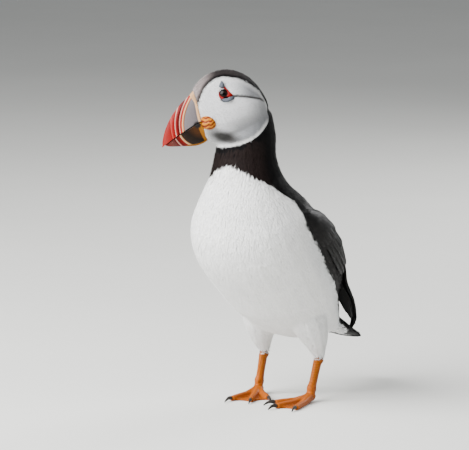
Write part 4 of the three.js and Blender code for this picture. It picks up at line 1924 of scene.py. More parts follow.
@dataclass(frozen=True)
class BillFinish:
    """Horn whose bands follow the stored band value."""

    name: str
    stops: tuple[tuple[float, Colour], ...]
    low: float
    high: float
    hem: Colour
    hem_line: Colour
    # painted shade: colour of the dark spot at the mouth corner and of the faces where the two
    # halves meet
    mouth_shade: Colour = (0.012, 0.010, 0.010)

    def material(self, effects: Effects) -> Material:
        """The finish as a material.

        Args:
            effects: The shared node groups.

        Returns:
            The material.
        """
        made, g, shader = begin(self.name)
        along, hem, mouth_shade = g.parts("band")
        place = g.place()
        wobble = effects.grained(g, 5.0, 0.12, place)["Factor"]
        value = g.total(along, g.math("SUBTRACT", wobble, 1.0))
        colour = g.ramp(value, self.stops, self.low, self.high)
        colour = g.mix(g.span(hem, -0.25, 0.15, 1.0, 0.0), colour, self.hem)
        colour = g.mix(g.span(hem, -2.3, -1.8, 1.0, 0.0), colour, self.hem_line)
        # Painted shade at the mouth corner and on the faces between the halves.
        colour = g.mix(mouth_shade, colour, self.mouth_shade)
        fine = effects.grained(g, 0.9, 0.10, place)
        broad = effects.grained(g, 6.0, 0.14, place)
        pits = g.product(g.span(hem, -0.2, 0.2, 1.0, 0.0), 0.3)
        rough = g.total(g.product(broad["Height"], 0.25), g.total(0.30, pits))
        growth = g.math("SINE", g.product(along, 9.0))
        relief = g.total(g.product(growth, 0.10), fine["Height"])
        g.fill(shader, Base_Color=g.times(colour, g.product(fine["Factor"], broad["Factor"])),
               Roughness=rough, Specular_IOR_Level=0.1, Normal=g.bump(0.35, 0.0002, relief))
        return made


@dataclass(frozen=True)
class FleshFinish:
    """Bare fleshy or horny skin in two colours, by a stored height."""

    name: str
    low: Colour
    high: Colour
    roughness: float = 0.4
    grain: float = 1.2
    bump: float = 0.4

    def material(self, effects: Effects) -> Material:
        """The finish as a material.

        Args:
            effects: The shared node groups.

        Returns:
            The material.
        """
        made, g, shader = begin(self.name)
        fine = effects.grained(g, self.grain, 0.22)
        colour = g.mix(g.span(g.stored("fold"), 0.15, 0.75), self.low, self.high)
        rough = g.total(g.product(fine["Height"], 0.2), self.roughness - 0.1)
        g.fill(shader, Base_Color=g.times(colour, fine["Factor"]), Roughness=rough,
               Specular_IOR_Level=0.15, Normal=g.bump(self.bump, 0.0003, fine["Height"]))
        return made


@dataclass(frozen=True)
class EyeFinish:
    """A wet dark eye: black pupil in a brown-black iris, by the stored angle off its axis."""

    name: str = "eye"
    pupil: Colour = (0.001, 0.001, 0.001)
    iris: Colour = (0.008, 0.004, 0.0025)
    rim: Colour = (0.002, 0.0015, 0.0015)

    def material(self, effects: Effects) -> Material:
        """The finish as a material.

        Args:
            effects: The shared node groups.

        Returns:
            The material.
        """
        made, g, shader = begin(self.name)
        gaze = g.stored("gaze")
        iris = g.times(self.iris, effects.grained(g, 0.5, 0.5)["Factor"])
        colour = g.mix(g.span(gaze, 19.0, 21.0), self.pupil, iris)
        colour = g.mix(g.span(gaze, 38.0, 42.0), colour, self.rim)
        g.fill(shader, Base_Color=colour, Roughness=0.05, Specular_IOR_Level=0.1)
        return made


@dataclass(frozen=True)
class FloorFinish:
    """A plain matt floor with a faint cloudiness."""

    name: str = "floor"
    colour: Colour = (0.66, 0.66, 0.63)

    def material(self, effects: Effects) -> Material:
        """The finish as a material.

        Args:
            effects: The shared node groups.

        Returns:
            The material.
        """
        made, g, shader = begin(self.name)
        cloud = effects.grained(g, 300.0, 0.05)["Factor"]
        g.fill(shader, Base_Color=g.times(self.colour, cloud), Roughness=0.9)
        return made


# ---- Bill, eyes and face plates ----


@dataclass(frozen=True)
class BillSize:
    """Side outlines (ahead, above the eyes) and widths of the bill."""

    culmen: Outline = ((19.4, 3), (24, -2.5), (31, -9.6), (37.4, -18.4), (41.8, -27.9),
                     (43.8, -36), (43.9, -40.6))
    upper_edge: Outline = ((12.8, -19.6), (19.8, -23.2), (27.2, -28), (35.6, -33.8),
                         (40.6, -37.8), (42.8, -39.4), (43.6, -40.4))
    lower_edge: Outline = ((11.8, -20.2), (19.6, -24), (27, -28.8), (35.4, -34.4), (40, -38),
                         (41.6, -39.2))
    keel: Outline = ((8.5, -33.8), (12.4, -37.4), (19, -39.9), (29, -40.3), (38, -40.4),
                   (41.5, -39.7))
    root: float = 7.6
    tip: float = 1.5
    ridge: float = 0.36
    keel_wide: float = 0.5
    rows: int = 150
    columns: int = 46
    tip_band: float = 44.0
    no_hem: float = 9.0


@dataclass
class Bill:
    """Both halves of the bill, with their grooves and ridges."""

    size: BillSize
    UPPER = ((0.32, 29.4, 0.7), (-0.30, 31.8, 0.42), (-0.36, 35.1, 0.42), (-0.26, 38.0, 0.45),
             (0.12, 33.4, 0.8), (0.12, 36.6, 0.8))
    HEM = ((0.45, -1.1, 1.0), (-0.25, 0.3, 0.4))
    LOWER = ((0.3, 19.0, 0.6), (-0.28, 23.3, 0.4), (-0.15, 24.3, 0.3))

    @staticmethod
    def by_span(points: tuple, shares: Array) -> Array:
        """Places at even shares of a smooth line's spans.

        Args:
            points: Corners of the line.
            shares: Shares of its spans.

        Returns:
            One place for each share.
        """
        line = curve(points, 16)
        at = shares * (len(line) - 1)
        return np.stack([np.interp(at, np.arange(len(line)), line[:, k]) for k in (0, 1)], -1)

    @staticmethod
    def ridged(value: Array, ridges: tuple[tuple[float, float, float], ...]) -> Array:
        """Ridges and grooves across a value, each a height, a place and half a width."""
        return sum(height * bulge(value, at, half) for height, at, half in ridges)

    def upper_fields(self, f: Array, h: Array) -> Fields:
        """Band, hem, painted mouth shade and relief of the upper half.

        Args:
            f: Millimetres ahead of the eyes.
            h: Millimetres above them.

        Returns:
            The four values at each place.
        """
        band = f + 0.0155 * (h + 24) ** 2
        hem = f - (20.9 - 0.0098 * (h + 7) ** 2 - 0.9 * rise(-h, 4, 14))
        hem = np.minimum(hem, np.maximum(hem - 4.2 * rise(h, -9, 0), -1.7))
        # A dark spot at the mouth corner by the rosette: painted shade.
        mouth_shade = rise(3.2 - np.hypot(f - 19.0, (h + 23.6) * 1.15), 0, 1.6) * rise(hem, -0.8, 0.2)
        return band, hem, mouth_shade, self.ridged(band, self.UPPER) + self.ridged(hem, self.HEM)

    def lower_fields(self, f: Array, h: Array) -> Fields:
        """Band, hem, painted mouth shade and relief of the lower half.

        Args:
            f: Millimetres ahead of the eyes.
            h: Millimetres above them.

        Returns:
            The four values at each place.
        """
        band = np.hypot(f - 15, h + 22)
        base = line_gap(np.stack([f, h], -1), np.array([(16.2, -24), (14.4, -28.4),
                                                        (12.2, -32.6), (9.6, -37.2)]))
        keel = line_gap(np.stack([f, h], -1), curve(self.size.keel, 6))
        hem = np.minimum(base - 2.4, keel - 1.5 + 3.0 * rise(f, 24, 30))
        # A dark spot at the mouth corner by the rosette: painted shade.
        mouth_shade = rise(3.2 - np.hypot(f - 18.4, (h + 24.4) * 1.1), 0, 1.8)
        return band, hem, mouth_shade, self.ridged(band, self.LOWER)

    def half(self, name: str, edge: Outline, ridge: Outline, ridge_wide: float,
             fields: Callable[[Array, Array], Fields],
             finish: Material) -> Piece:
        """One half of the bill as a closed piece.

        Args:
            name: The piece's name.
            edge: Side outline of the cutting edge.
            ridge: Side outline of the culmen or keel.
            ridge_wide: Width at the ridge, as a share of that at the edge.
            fields: Function of side places that gives band, hem, painted mouth shade and relief.
            finish: The material.

        Returns:
            The piece.
        """
        s = self.size
        share = np.linspace(0, 1, s.rows)
        low, high = self.by_span(edge, share), self.by_span(ridge, share)
        v = 1 - np.linspace(1, 0, s.columns) ** 1.5
        flat = low[:, None] + (high - low)[:, None] * v[None, :, None]
        wide = s.root + (s.tip - s.root) * share**0.9
        round_off = np.sqrt(np.clip(1 - v**6, 0, 1))
        half_wide = wide[:, None] * (1 + (ridge_wide - 1) * v)[None] * round_off[None]
        along, hem, mouth_shade, relief = (x.reshape(flat.shape[:2]) for x in
                                    fields(flat[..., 0].ravel(), flat[..., 1].ravel()))
        swell = relief * round_off[None] * rise(wide, 1.2, 3.5)[:, None]
        half_wide = np.maximum(half_wide + swell, 0.0)
        left = np.concatenate([flat, half_wide[..., None]], -1)
        right = np.concatenate([flat, -half_wide[..., None]], -1)[:, -2::-1]
        inner = np.linspace(-1, 1, 9)[1:-1]
        dip = (high - low) / np.maximum(np.linalg.norm(high - low, axis=1, keepdims=True), 1e-6)
        floor = low[:, None] + dip[:, None] * (0.7 * (1 - inner[None, :, None] ** 2))
        floor = np.concatenate([floor, inner[None, :, None] * half_wide[:, :1, None]], -1)
        ring = np.concatenate([left, right, floor], 1)
        shade = np.repeat(1 - rise(share, 0.9, 0.99)[:, None], len(inner), 1)
        inside = (np.full_like(shade, s.tip_band), np.full_like(shade, s.no_hem), shade)
        values = np.stack([np.concatenate([mirrored(outer), within], 1)
                           for outer, within in zip((along, hem, mouth_shade), inside)], -1)
        count = ring.shape[1]
        quads = grid_faces(s.rows, count, closed=True)
        vertices = np.vstack([ring.reshape(-1, 3), ring[0].mean(0), ring[-1].mean(0)])
        around = np.arange(count)
        caps = np.vstack([fan(len(vertices) - 2, around)[:, [0, 2, 1]],
                          fan(len(vertices) - 1, (s.rows - 1) * count + around)])
        world = HEAD.world(vertices)
        if faces_in(vertices, quads):
            quads, caps = quads[:, ::-1], caps[:, ::-1]
        made = make_mesh(name, world, quads, caps)
        stored = np.vstack([values.reshape(-1, 3), values[0, 0], values[-1, 0]])
        set_values(made, "band", "FLOAT_VECTOR", stored)
        made.data.materials.append(finish)
        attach(made, "root")
        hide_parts(name.replace("_horn", ""))
        LOG.info("%s: %d vertices", name, len(vertices))
        return made


@dataclass
class FacePieces:
    """Rosettes, eye rings, horny plates and eyes on the sides of the head."""

    skin: Skin
    ROSETTE = ((17.5, -20.9), (16.4, -18.3), (12.8, -16.9), (9.4, -17.9), (6.9, -20.6),
               (6.2, -23.6), (8.2, -26.2), (11.6, -26.9), (15.2, -25.8), (17.2, -23.5))
    RING = ((0.3, 5.2), (2.5, 3.9), (4.1, 1.3), (4.2, -1.6), (2.9, -3.9), (-0.2, -3.9),
            (-3.6, -2.5), (-5.9, -1.4), (-3.9, 1.1), (-1.6, 3.5))
    BROW = ((1.9, 8.6), (2.6, 7.7), (3.5, 5.6), (3.3, 4.4), (1.7, 4.1), (0.3, 4.5), (0.3, 5.8),
            (1.0, 7.8))
    CHEEK = ((2.9, -4.2), (1.6, -5.7), (-1.4, -5.6), (-4.4, -4.5), (-6.5, -3.4), (-6.6, -2.2),
             (-4.4, -2.7), (-1.2, -3.8), (1.4, -4.0))
    OUTSIDE = 45.0
    SKIRT = 1.6
    ROOT = 1.2
    EYE_RADIUS = 4.4
    EYE_AT = (0.9, 0.5)
    LID = 2.95

    def close_seat(self, flat: Array, sign: float) -> Pair:
        """Where side places meet the head's skin, from outside.

        Args:
            flat: Side places.
            sign: 1 for the bird's left, -1 for its right.

        Returns:
            Places on the skin and normals.
        """
        starts = HEAD.world(np.c_[flat, np.full(len(flat), self.OUTSIDE * sign)])
        way = HEAD.turned(np.array([[0, 0, -sign]]))
        return self.skin.cast(starts, np.tile(way, (len(flat), 1)))

    def even_seat(self, flat: Array, sign: float) -> Pair:
        """A smooth seat for a pad: a cubic surface through the skin at side places.

        Args:
            flat: Side places.
            sign: 1 for the bird's left, -1 for its right.

        Returns:
            Places on the seat and normals.
        """
        place, _ = self.close_seat(flat, sign)
        out = HEAD.local(place)[:, 2] * sign
        middle = flat.mean(0)
        x, y = (flat - middle).T
        terms = np.stack([np.ones_like(x), x, y, x * x, x * y, y * y, x**3, x * x * y, x * y * y,
                          y**3], -1)
        c = np.linalg.lstsq(terms, out, rcond=None)[0]
        seat = np.maximum(terms @ c, out - 0.15)
        over_x = c[1] + 2 * c[3] * x + c[4] * y + 3 * c[6] * x * x + 2 * c[7] * x * y + c[8] * y * y
        over_y = c[2] + c[4] * x + 2 * c[5] * y + c[7] * x * x + 2 * c[8] * x * y + 3 * c[9] * y * y
        normal = HEAD.turned(unit(np.stack([-over_x, -over_y, np.full(len(x), sign)], -1)))
        return HEAD.world(np.c_[flat, seat * sign]), normal

    def patch(self, name: str, outline: Outline, sign: float, rings: int,
              height: Callable[[Array, Array], Pair],
              seat: Callable[[Array, float], Pair],
              finish: Material, slot: str, node: str) -> Piece:
        """A domed pad on the side of the head.

        Args:
            name: The piece's name.
            outline: Closed side outline.
            sign: 1 for the bird's left, -1 for its right.
            rings: Rings from the middle to the rim.
            height: Function of flat places and share of the way to the rim, giving a height
                over the skin and a fold value.
            seat: Function of flat places and sign, giving the places and normals it sits on.
            finish: The material.
            slot: The record's material slot; not used.
            node: The frame node it stands for.

        Returns:
            The piece.
        """
        rim = loop_curve(outline, 8)
        middle = rim.mean(0)
        shares = np.linspace(0, 1, rings + 1)[1:]
        flat = middle + (rim - middle)[None] * shares[:, None, None]
        flat = np.vstack([middle, flat.reshape(-1, 2)])
        share = np.r_[0.0, np.repeat(shares, len(rim))]
        base, normal = seat(flat, sign)
        out = unit(normal + 0.6 * HEAD.turned(np.array([[0, 0, sign]])))
        rise_by, fold = height(flat, share)
        vertices = base + out * rise_by[:, None]
        around = len(rim)
        j = np.arange(around)
        skirt = vertices[-around:] - out[-around:] * self.SKIRT
        first = len(vertices)
        vertices = np.vstack([vertices, skirt, (base[0] - out[0] * self.ROOT)[None]])
        quads = np.vstack([grid_faces(rings, around, closed=True) + 1,
                           band(first - around + j, first + j)])
        triangles = np.vstack([fan(0, 1 + j)[:, [0, 2, 1]], fan(len(vertices) - 1, first + j)])
        if faces_in(vertices, quads):
            quads, triangles = quads[:, ::-1], triangles[:, ::-1]
        made = make_mesh(name, vertices, quads, triangles)
        set_values(made, "fold", "FLOAT", np.r_[fold, fold[-around:], fold[0]])
        made.data.materials.append(finish)
        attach(made, "root")
        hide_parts(node)
        return made

    @staticmethod
    def rosette_height(flat: Array, share: Array) -> Pair:
        """A plump wrinkled pad; its folds run down towards the rear.

        Args:
            flat: Side places.
            share: Share of the way to the rim.

        Returns:
            Heights over the skin and fold values.
        """
        x, y = flat[:, 0], flat[:, 1]
        down = x * 0.50 + y * 0.87 - 0.05 * (x - 10.5) ** 2
        run = x * 0.87 - y * 0.50
        bend = 1.0 * np.sin(run * 0.75 + 0.4) + 0.8 * np.sin(run * 1.7 + down * 0.9)
        fold = 0.5 + 0.5 * np.sin(down * 2.7 + bend)
        knobs = np.sin(run * 2.6 + 1.1 * np.sin(down * 2.2))
        fold = np.clip(fold, 0, 1) ** 0.65 * (0.86 + 0.14 * knobs)
        inner = rise(1 - share, -0.02, 0.16)
        fold = fold * inner + 0.8 * (1 - inner)
        dome = np.sqrt(np.clip(1 - share**2.6, 0, 1))
        # The fold value also sets the colour, dark red in the valleys: partly the rosette's own
        # red, partly painted shade in the creases.
        return 0.3 + 1.0 * dome + 0.6 * (fold - 0.5) * dome, fold

    @staticmethod
    def plate_height(flat: Array, share: Array) -> Pair:
        """A smooth horny plate with faint growth lines.

        Args:
            flat: Side places.
            share: Share of the way to the rim.

        Returns:
            Heights over the skin and fold values.
        """
        dome = np.sqrt(np.clip(1 - share**2.2, 0, 1))
        lines = 0.5 + 0.5 * np.sin(flat[:, 1] * 5.2 + flat[:, 0] * 1.3)
        # The fold value sets the colour: lightest in the dome's middle as a painted highlight, with
        # the real growth lines.
        return 0.45 + 0.65 * dome + 0.03 * lines * dome, dome * (0.72 + 0.28 * lines)

    def centre(self, name: str) -> Array:
        """Middle of an eyeball."""
        low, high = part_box(name + "_eye")
        return np.array((low + high) / 2) / MM

    def ring(self, name: str, sign: float, finish: Material) -> Piece:
        """The fleshy ring round the eye, from the eyeball out over the skin.

        Args:
            name: left or right.
            sign: 1 or -1 to match.
            finish: The material.

        Returns:
            The piece.
        """
        outline = loop_curve(self.RING, 10)
        around = len(outline)
        outer, normal = self.close_seat(outline, sign)
        out = unit(normal + HEAD.turned(np.array([[0, 0, sign]])))
        centre = self.centre(name)
        local_centre = HEAD.local(centre[None])[0]
        towards = unit(outline - np.array(self.EYE_AT))
        inner_flat = np.array(self.EYE_AT) + towards * self.LID
        off = inner_flat - local_centre[:2]
        depth = np.sqrt(np.maximum((self.EYE_RADIUS + 0.08) ** 2 - (off**2).sum(1), 0.5))
        inner = HEAD.world(np.c_[inner_flat, local_centre[2] + sign * depth])
        deep = inner - out * 1.4
        rows = [deep, inner]
        folds = [np.zeros(around), np.full(around, 0.1)]
        top = outer + out * 0.62
        for t in np.linspace(0.12, 0.88, 7):
            swell = 0.5 * math.sin(math.pi * min(1.0, t * 1.15)) ** 0.7
            bead = 0.06 * np.sin(np.arange(around) * 1.9 + 4 * t)
            rows.append(inner + (top - inner) * t + out * (swell * 0.8 + bead)[:, None])
            folds.append(0.45 + 0.55 * np.full(around, math.sin(math.pi * t)))
        rows += [top, outer - out * self.ROOT]
        folds += [np.full(around, 0.35), np.full(around, 0.2)]
        vertices = np.concatenate(rows)
        j = np.arange(around)
        quads = np.vstack([grid_faces(len(rows), around, closed=True),
                           band((len(rows) - 1) * around + j, j)])
        face = np.cross(vertices[quads[:, 1]] - vertices[quads[:, 0]],
                        vertices[quads[:, 2]] - vertices[quads[:, 0]])
        middle_row = slice(3 * around, 4 * around)
        if (face[middle_row] * out).sum() < 0:
            quads = quads[:, ::-1]
        made = make_mesh(name + "_eye_ring", vertices, quads)
        set_values(made, "fold", "FLOAT", np.concatenate(folds))
        made.data.materials.append(finish)
        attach(made, "root")
        return made

    def eye(self, name: str, sign: float, finish: Material) -> Piece:
        """One eyeball.

        Args:
            name: left or right.
            sign: 1 or -1 to match.
            finish: The material.

        Returns:
            The piece.
        """
        centre = self.centre(name)
        made = add_ball(self.EYE_RADIUS, centre, 48, 24)
        made.name = name + "_eyeball"
        bpy.ops.object.transform_apply(location=True, rotation=True, scale=True)
        bpy.ops.object.shade_smooth()
        vertices, _ = read_mesh(made)
        axis = HEAD.turned(np.array([[0.14, 0.0, sign]]))[0]
        facing = unit(vertices - centre) @ (axis / np.linalg.norm(axis))
        set_values(made, "gaze", "FLOAT", np.degrees(np.arccos(np.clip(facing, -1, 1))))
        made.data.materials.append(finish)
        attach(made, "root")
        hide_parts(name + "_eye")
        return made


class Feet:
    """Scale marks of the bare legs and the claws."""

    FEET = {"left": ((4.48, 26.0), -7.0), "right": ((-4.52, -26.0), 22.0)}
    TOES = ((-25.0, 29.0), (-2.0, 38.0), (22.0, 37.0))
    CLAWS = ("inner", "middle", "outer")

    def scutes(self, skin: Skin) -> None:
        """Stores, for each skin vertex, its run along a toe and how near the toe it lies.

        Args:
            skin: The finished skin.
        """
        points = skin.vertices
        run = points[:, 2] * 0.9
        near = np.zeros(len(points))
        shank = rise(points[:, 2], 9, 13)
        for name, sign in SIDES:
            (ahead, side), turn = self.FEET[name]
            here = points[:, 0] * sign > 0
            for angle, length in self.TOES:
                way = math.radians(turn) + math.radians(angle) * sign
                heading = np.array([math.sin(way), -math.cos(way)])
                off = points[:, :2] - np.array([side, -ahead])
                t = off @ heading
                across = np.abs(off[:, 0] * heading[1] - off[:, 1] * heading[0])
                mask = rise(2.9 - across, 0, 0.9) * rise(t, -1, 2)
                mask *= (1 - rise(t, length, length + 3)) * here
                run = np.where(mask > near, t, run)
                near = np.maximum(near, mask)
        front = rise(-skin.normals[:, 1], 0.0, 0.5) * shank
        near = np.maximum(near * (1 - shank), front)
        stored = np.stack([run, near, np.zeros(len(near))], -1)
        set_values(skin.piece, "scute", "FLOAT_VECTOR", stored)

    def claws(self, finish: Material) -> None:
        """Smooth claws in place of the frame's.

        Args:
            finish: The material.
        """
        for side, _ in SIDES:
            for toe in self.CLAWS:
                node = f"{side}_{toe}_claw"
                made = merged_copy(node, node + "_horn")
                soft = made.modifiers.new("soft", "SUBSURF")
                soft.levels = soft.render_levels = 2
                apply_all(made)
                bpy.ops.object.shade_smooth()
                made.data.materials.clear()
                made.data.materials.append(finish)
                vertices, _ = read_mesh(made)
                low, high = vertices[:, 2].min(), vertices[:, 2].max()
                set_values(made, "fold", "FLOAT", (vertices[:, 2] - low) / (high - low))
                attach(made, "root")
                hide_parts(node)


# ---- Stage ----


@dataclass(frozen=True)
class Studio:
    """Floor, lights and camera."""

    azimuth: float = 33.0
    elevation: float = 7.5
    distance: float = 3.0
    image_width: float = 0.35175
    aim: tuple[float, float] = (-0.03749, 0.00485)
    middle: float = 0.12662
    sensor: float = 36.0
    floor_size: float = 60.0
    sky: Colour = (0.94, 0.97, 1.0)
    sky_strength: float = 0.34
    lights: tuple = (("key", 0.14, (0.8, -1.1, 0.82), 1.5, 122),
                     ("fill", 0.12, (0.9, 1.3, 0.4), 1.4, 5),
                     ("rim", 0.15, (-1.1, 0.9, 1.0), 0.8, 22))

    def back(self) -> Vector:
        """From the bird towards the camera."""
        a, e = math.radians(self.azimuth), math.radians(self.elevation)
        return Vector((math.sin(a) * math.cos(e), -math.cos(a) * math.cos(e), math.sin(e)))

    def build(self, effects: Effects) -> None:
        """Makes the stage and aims the camera.

        Args:
            effects: The shared node groups.
        """
        back = self.back()
        right = Vector((-back.y, back.x, 0)).normalized()
        up = back.cross(right)
        bpy.ops.object.select_all(action="DESELECT")
        bpy.ops.mesh.primitive_plane_add(size=self.floor_size, location=(0, 0, 0))
        floor = bpy.context.view_layer.objects.active
        floor.name = "floor"
        floor.data.materials.append(FloorFinish().material(effects))
        aim = Vector((0, 0, self.middle)) + right * self.aim[0] + up * self.aim[1]
        data = bpy.data.cameras.new("camera")
        data.sensor_width = self.sensor
        data.lens = self.sensor * self.distance / self.image_width
        camera = linked("camera", data)
        self._face(camera, aim, back * self.distance, -back)
        bpy.context.scene.camera = camera
        for name, height, (b, r, u), size, power in self.lights:
            lamp = bpy.data.lights.new(name, "AREA")
            lamp.size = size
            lamp.energy = power
            away = back * b + right * r + up * u
            self._face(linked(name, lamp), Vector((0, 0, height)), away, -away)
        world = bpy.data.worlds.new("studio")
        world.use_nodes = True
        shade = world.node_tree.nodes["Background"]
        shade.inputs["Color"].default_value = (*self.sky, 1)
        shade.inputs["Strength"].default_value = self.sky_strength
        bpy.context.scene.world = world

    @staticmethod
    def _face(what: Piece, target: Vector, away: Vector, look: Vector) -> None:
        """Puts a lamp or camera off a target, looking along a direction.

        Args:
            what: The lamp or camera.
            target: The target.
            away: Its offset.
            look: The direction it looks in.
        """
        what.location = target + away
        what.rotation_mode = "QUATERNION"
        what.rotation_quaternion = look.to_track_quat("-Z", "Y")


# ---- The bird ----


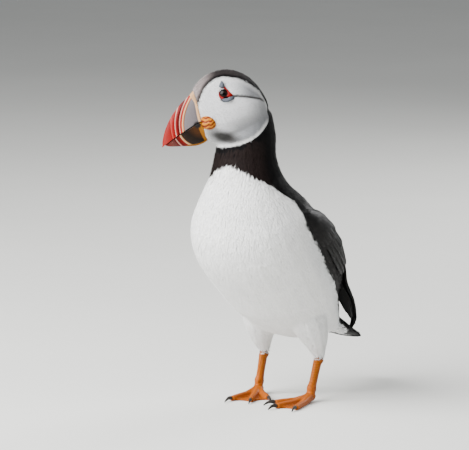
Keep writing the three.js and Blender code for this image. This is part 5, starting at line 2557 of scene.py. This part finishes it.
class Puffin:
    """Builds every piece in order."""

    def __init__(self, effects: Effects) -> None:
        """Keeps the effects and seeds the source of chance.

        Args:
            effects: The shared node groups.
        """
        self.rng = np.random.default_rng(SEED)
        self.effects = effects
        self.dress = Dress()
        self.markings = Markings(self.dress)

    def build(self) -> None:
        """Skin, bill, face, feet and plumage."""
        e = self.effects
        self.skin = Skin(SkinSize(), self.markings, self.rng)
        Feet().scutes(self.skin)
        self.skin.piece.data.materials.append(SkinFinish().material(e))
        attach(self.skin.piece, "root")
        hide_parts(*FLESH)
        self._bill()
        self._face()
        Feet().claws(FleshFinish("claw_horn", (0.010, 0.009, 0.009), (0.030, 0.026, 0.024),
                                 0.35).material(e))
        self._plumage()

    def _bill(self) -> None:
        """Both halves of the bill."""
        line = (0.24, 0.055, 0.005)
        upper = BillFinish("upper_bill_horn", (
            (19.5, SLATE), (28.3, (0.13, 0.115, 0.12)), (28.55, line), (28.85, line),
            (29.1, CREAM), (29.8, CREAM), (30.15, (0.22, 0.006, 0.001)), (31.3, RED),
            (31.55, GROOVE), (31.95, GROOVE), (32.25, DEEP_RED), (33.2, DEEP_RED), (34.6, RED),
            (34.85, GROOVE), (35.25, GROOVE), (35.55, RED), (37.5, RED),
            (37.8, (0.29, 0.040, 0.026)), (38.1, (0.29, 0.040, 0.026)),
            (38.5, (0.16, 0.0020, 0.0010)), (44.0, PINK_TIP)),
            18.0, 46.0, (0.40, 0.235, 0.115), line)
        lower = BillFinish("lower_bill_horn", (
            # The lower half's base by the chin is near black: its dark slate darkened by painted
            # shade under the head.
            (8.0, (0.040, 0.014, 0.003)), (13.0, (0.007, 0.0038, 0.002)),
            (18.0, (0.016, 0.0095, 0.006)), (18.3, (0.26, 0.115, 0.035)), (18.8, CREAM),
            (19.4, CREAM), (19.8, (0.15, 0.003, 0.001)), (22.6, DEEP_RED), (22.95, GROOVE),
            (23.4, GROOVE), (23.75, DEEP_RED), (24.3, (0.080, 0.0015, 0.001)),
            (24.7, (0.090, 0.022, 0.019)), (27.5, (0.12, 0.032, 0.024)),
            (30.0, (0.14, 0.012, 0.008))), 6.0, 32.0, (0.23, 0.085, 0.006),
            (0.30, 0.12, 0.006))
        size = BillSize()
        bill = Bill(size)
        bill.half("upper_bill_horn", size.upper_edge, size.culmen, size.ridge,
                  bill.upper_fields, upper.material(self.effects))
        bill.half("lower_bill_horn", size.lower_edge, size.keel, size.keel_wide,
                  bill.lower_fields, lower.material(self.effects))

    def _face(self) -> None:
        """Rosettes, plates, rings and eyes."""
        e = self.effects
        pieces = FacePieces(self.skin)
        # Rosette dark red in its fold valleys, orange on the ridges: partly its own colours, partly
        # painted shade in the creases.
        rosette = FleshFinish("rosette_skin", (0.10, 0.0045, 0.0004), (0.37, 0.122, 0.0001),
                              0.46).material(e)
        # Plates darker at the rim, lighter in the middle: the lighter middle is a painted
        # highlight.
        plate = FleshFinish("plate_horn", (0.012, 0.014, 0.018), (0.066, 0.074, 0.090), 0.5,
                            0.8, 0.12).material(e)
        ring = FleshFinish("ring_skin", (0.035, 0.0015, 0.001), (0.18, 0.0016, 0.0008),
                           0.42, 0.7, 0.3).material(e)
        eye = EyeFinish().material(e)
        for name, sign in SIDES:
            pieces.patch(name + "_rosette_skin", pieces.ROSETTE, sign, 14,
                         pieces.rosette_height, pieces.close_seat, rosette, "rosette_skin",
                         name + "_rosette")
            for plate_name, outline in (("brow", pieces.BROW), ("cheek", pieces.CHEEK)):
                pieces.patch(f"{name}_{plate_name}_horn", outline, sign, 7, pieces.plate_height,
                             pieces.even_seat, plate, "plate_horn", f"{name}_{plate_name}_plate")
            pieces.ring(name, sign, ring)
            pieces.eye(name, sign, eye)

    def _clear_of_face(self, points: Array) -> Array:
        """Whether feathers may root here: not under the bill, rosette, plates or eye.

        Args:
            points: Roots.

        Returns:
            True where a feather may stand.
        """
        local = HEAD.local(points)
        flat = local[:, :2]
        clear = np.ones(len(points), bool)
        for outline, margin in ((FacePieces.ROSETTE, 0.2), (FacePieces.RING, -0.1),
                                (FacePieces.BROW, -0.1), (FacePieces.CHEEK, -0.1)):
            clear &= inside_depth(flat, loop_curve(outline, 5)) < margin
        return clear & ~((flat[:, 0] > 12) & (np.abs(flat[:, 1] + 21.9) < 4.4))

    @staticmethod
    def _grown(points: Array) -> Array:
        """The relative size of head feathers, smallest at the bill."""
        return 0.62 + 0.55 * rise(-HEAD.local(points)[:, 0], -14, 16)

    def _plumage(self) -> None:
        """Every tract of feathers."""
        e, coat = self.effects, Coat(self.skin, self.markings, self.rng)
        soft = FeatherFinish("face_feathers", 0.9, 0.1, 0.96, 0.02).material(e)
        white = FeatherFinish("white_feathers", 0.9, 0.1, 0.92, 0.02).material(e)
        dark = FeatherFinish("black_feathers", 0.65, 0.07, 0.8, 0.2).material(e)
        scaly = FeatherFinish("scaly_feathers", 0.55, 0.14, 0.8, 0.25,
                              (0.013, 0.011, 0.010), 0.3).material(e)
        quill = FeatherFinish("quill_feathers", 0.5, 0.15, 0.85, 0.25,
                              (0.014, 0.012, 0.011), 0.35, 0.25).material(e)
        short = {"steps": 2, "shares": (0.0, 0.55, 1.0), "widths": (0.8, 0.85)}
        wide = {"shares": (0.0, 0.3, 0.65, 0.9, 1.0), "widths": (0.45, 0.95, 1.0, 0.62)}
        face = Plume(0.60, 2.0, 0.34, 0.45, 6, 0.12, **short)
        coat.tract("face_coat", (Zone.FACE,), face, soft, "face_feathers", Unwrap.HEAD,
                   self._clear_of_face, self._grown)
        crown = Plume(0.66, 2.6, 0.36, 0.95, 6, 0.13, **short)
        coat.tract("crown_coat", (Zone.CROWN,), crown, dark, "black_feathers", Unwrap.HEAD,
                   self._clear_of_face, self._grown)
        neck = Plume(0.92, 4.4, 0.6, 1.6, 6, 0.16)
        coat.tract("neck_coat", (Zone.NECK,), neck, dark, "black_feathers")
        breast = Plume(1.04, 6.6, 0.82, 1.5, 11, 0.16)
        coat.tract("breast_coat", (Zone.BREAST,), breast, white, "white_feathers",
                   keep=lambda p: p[:, 2] > 132)
        coat.tract("belly_coat", (Zone.BREAST,), breast, white, "white_feathers",
                   keep=lambda p: (p[:, 2] <= 132) & (p[:, 2] > 92))
        coat.tract("vent_coat", (Zone.BREAST,), breast, white, "white_feathers",
                   keep=lambda p: p[:, 2] <= 92)
        back = Plume(1.7, 9.0, 1.9, 1.8, 8, 0.16, **wide)
        coat.tract("back_coat", (Zone.BACK,), back, scaly, "black_feathers",
                   scale=lambda p: 0.55 + 0.45 * rise(SPINE.locate(p)[0], 80, 112))
        wing = Plume(1.8, 6.5, 1.9, 1.5, 5, 0.14, **wide)
        coat.tract("wing_coat", (Zone.WING,), wing, scaly, "black_feathers",
                   keep=lambda p: SPINE.locate(p)[0] < 118)
        thigh = Plume(1.05, 6.0, 0.8, 1.4, 10, 0.15, unrest=9.0)
        coat.tract("thigh_coat", (Zone.THIGH,), thigh, white, "white_feathers",
                   scale=lambda p: 0.5 + 0.5 * rise(p[:, 2], 32, 48))
        tail = Plume(1.5, 6.5, 1.3, 1.0, 8, 0.14)
        coat.tract("tail_coat", (Zone.TAIL,), tail, scaly, "black_feathers",
                   keep=lambda p: p[:, 1] < 78)
        for name, sign in SIDES:
            for row, (lines, widths) in WingDress(self.skin, sign, self.rng).rows().items():
                coat.quills(f"{name}_{row}", lines, widths, self.dress.back, quill,
                            "black_feathers")
        lines, widths = tail_lines()
        coat.quills("tail_quills", lines, widths, self.dress.back, quill, "black_feathers")
        LOG.info("plumage: %d triangles", coat.total)


def main() -> None:
    """Builds the bird and its stage."""
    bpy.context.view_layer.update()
    effects = Effects()
    Puffin(effects).build()
    Studio().build(effects)


if __name__ == "__main__":
    main()
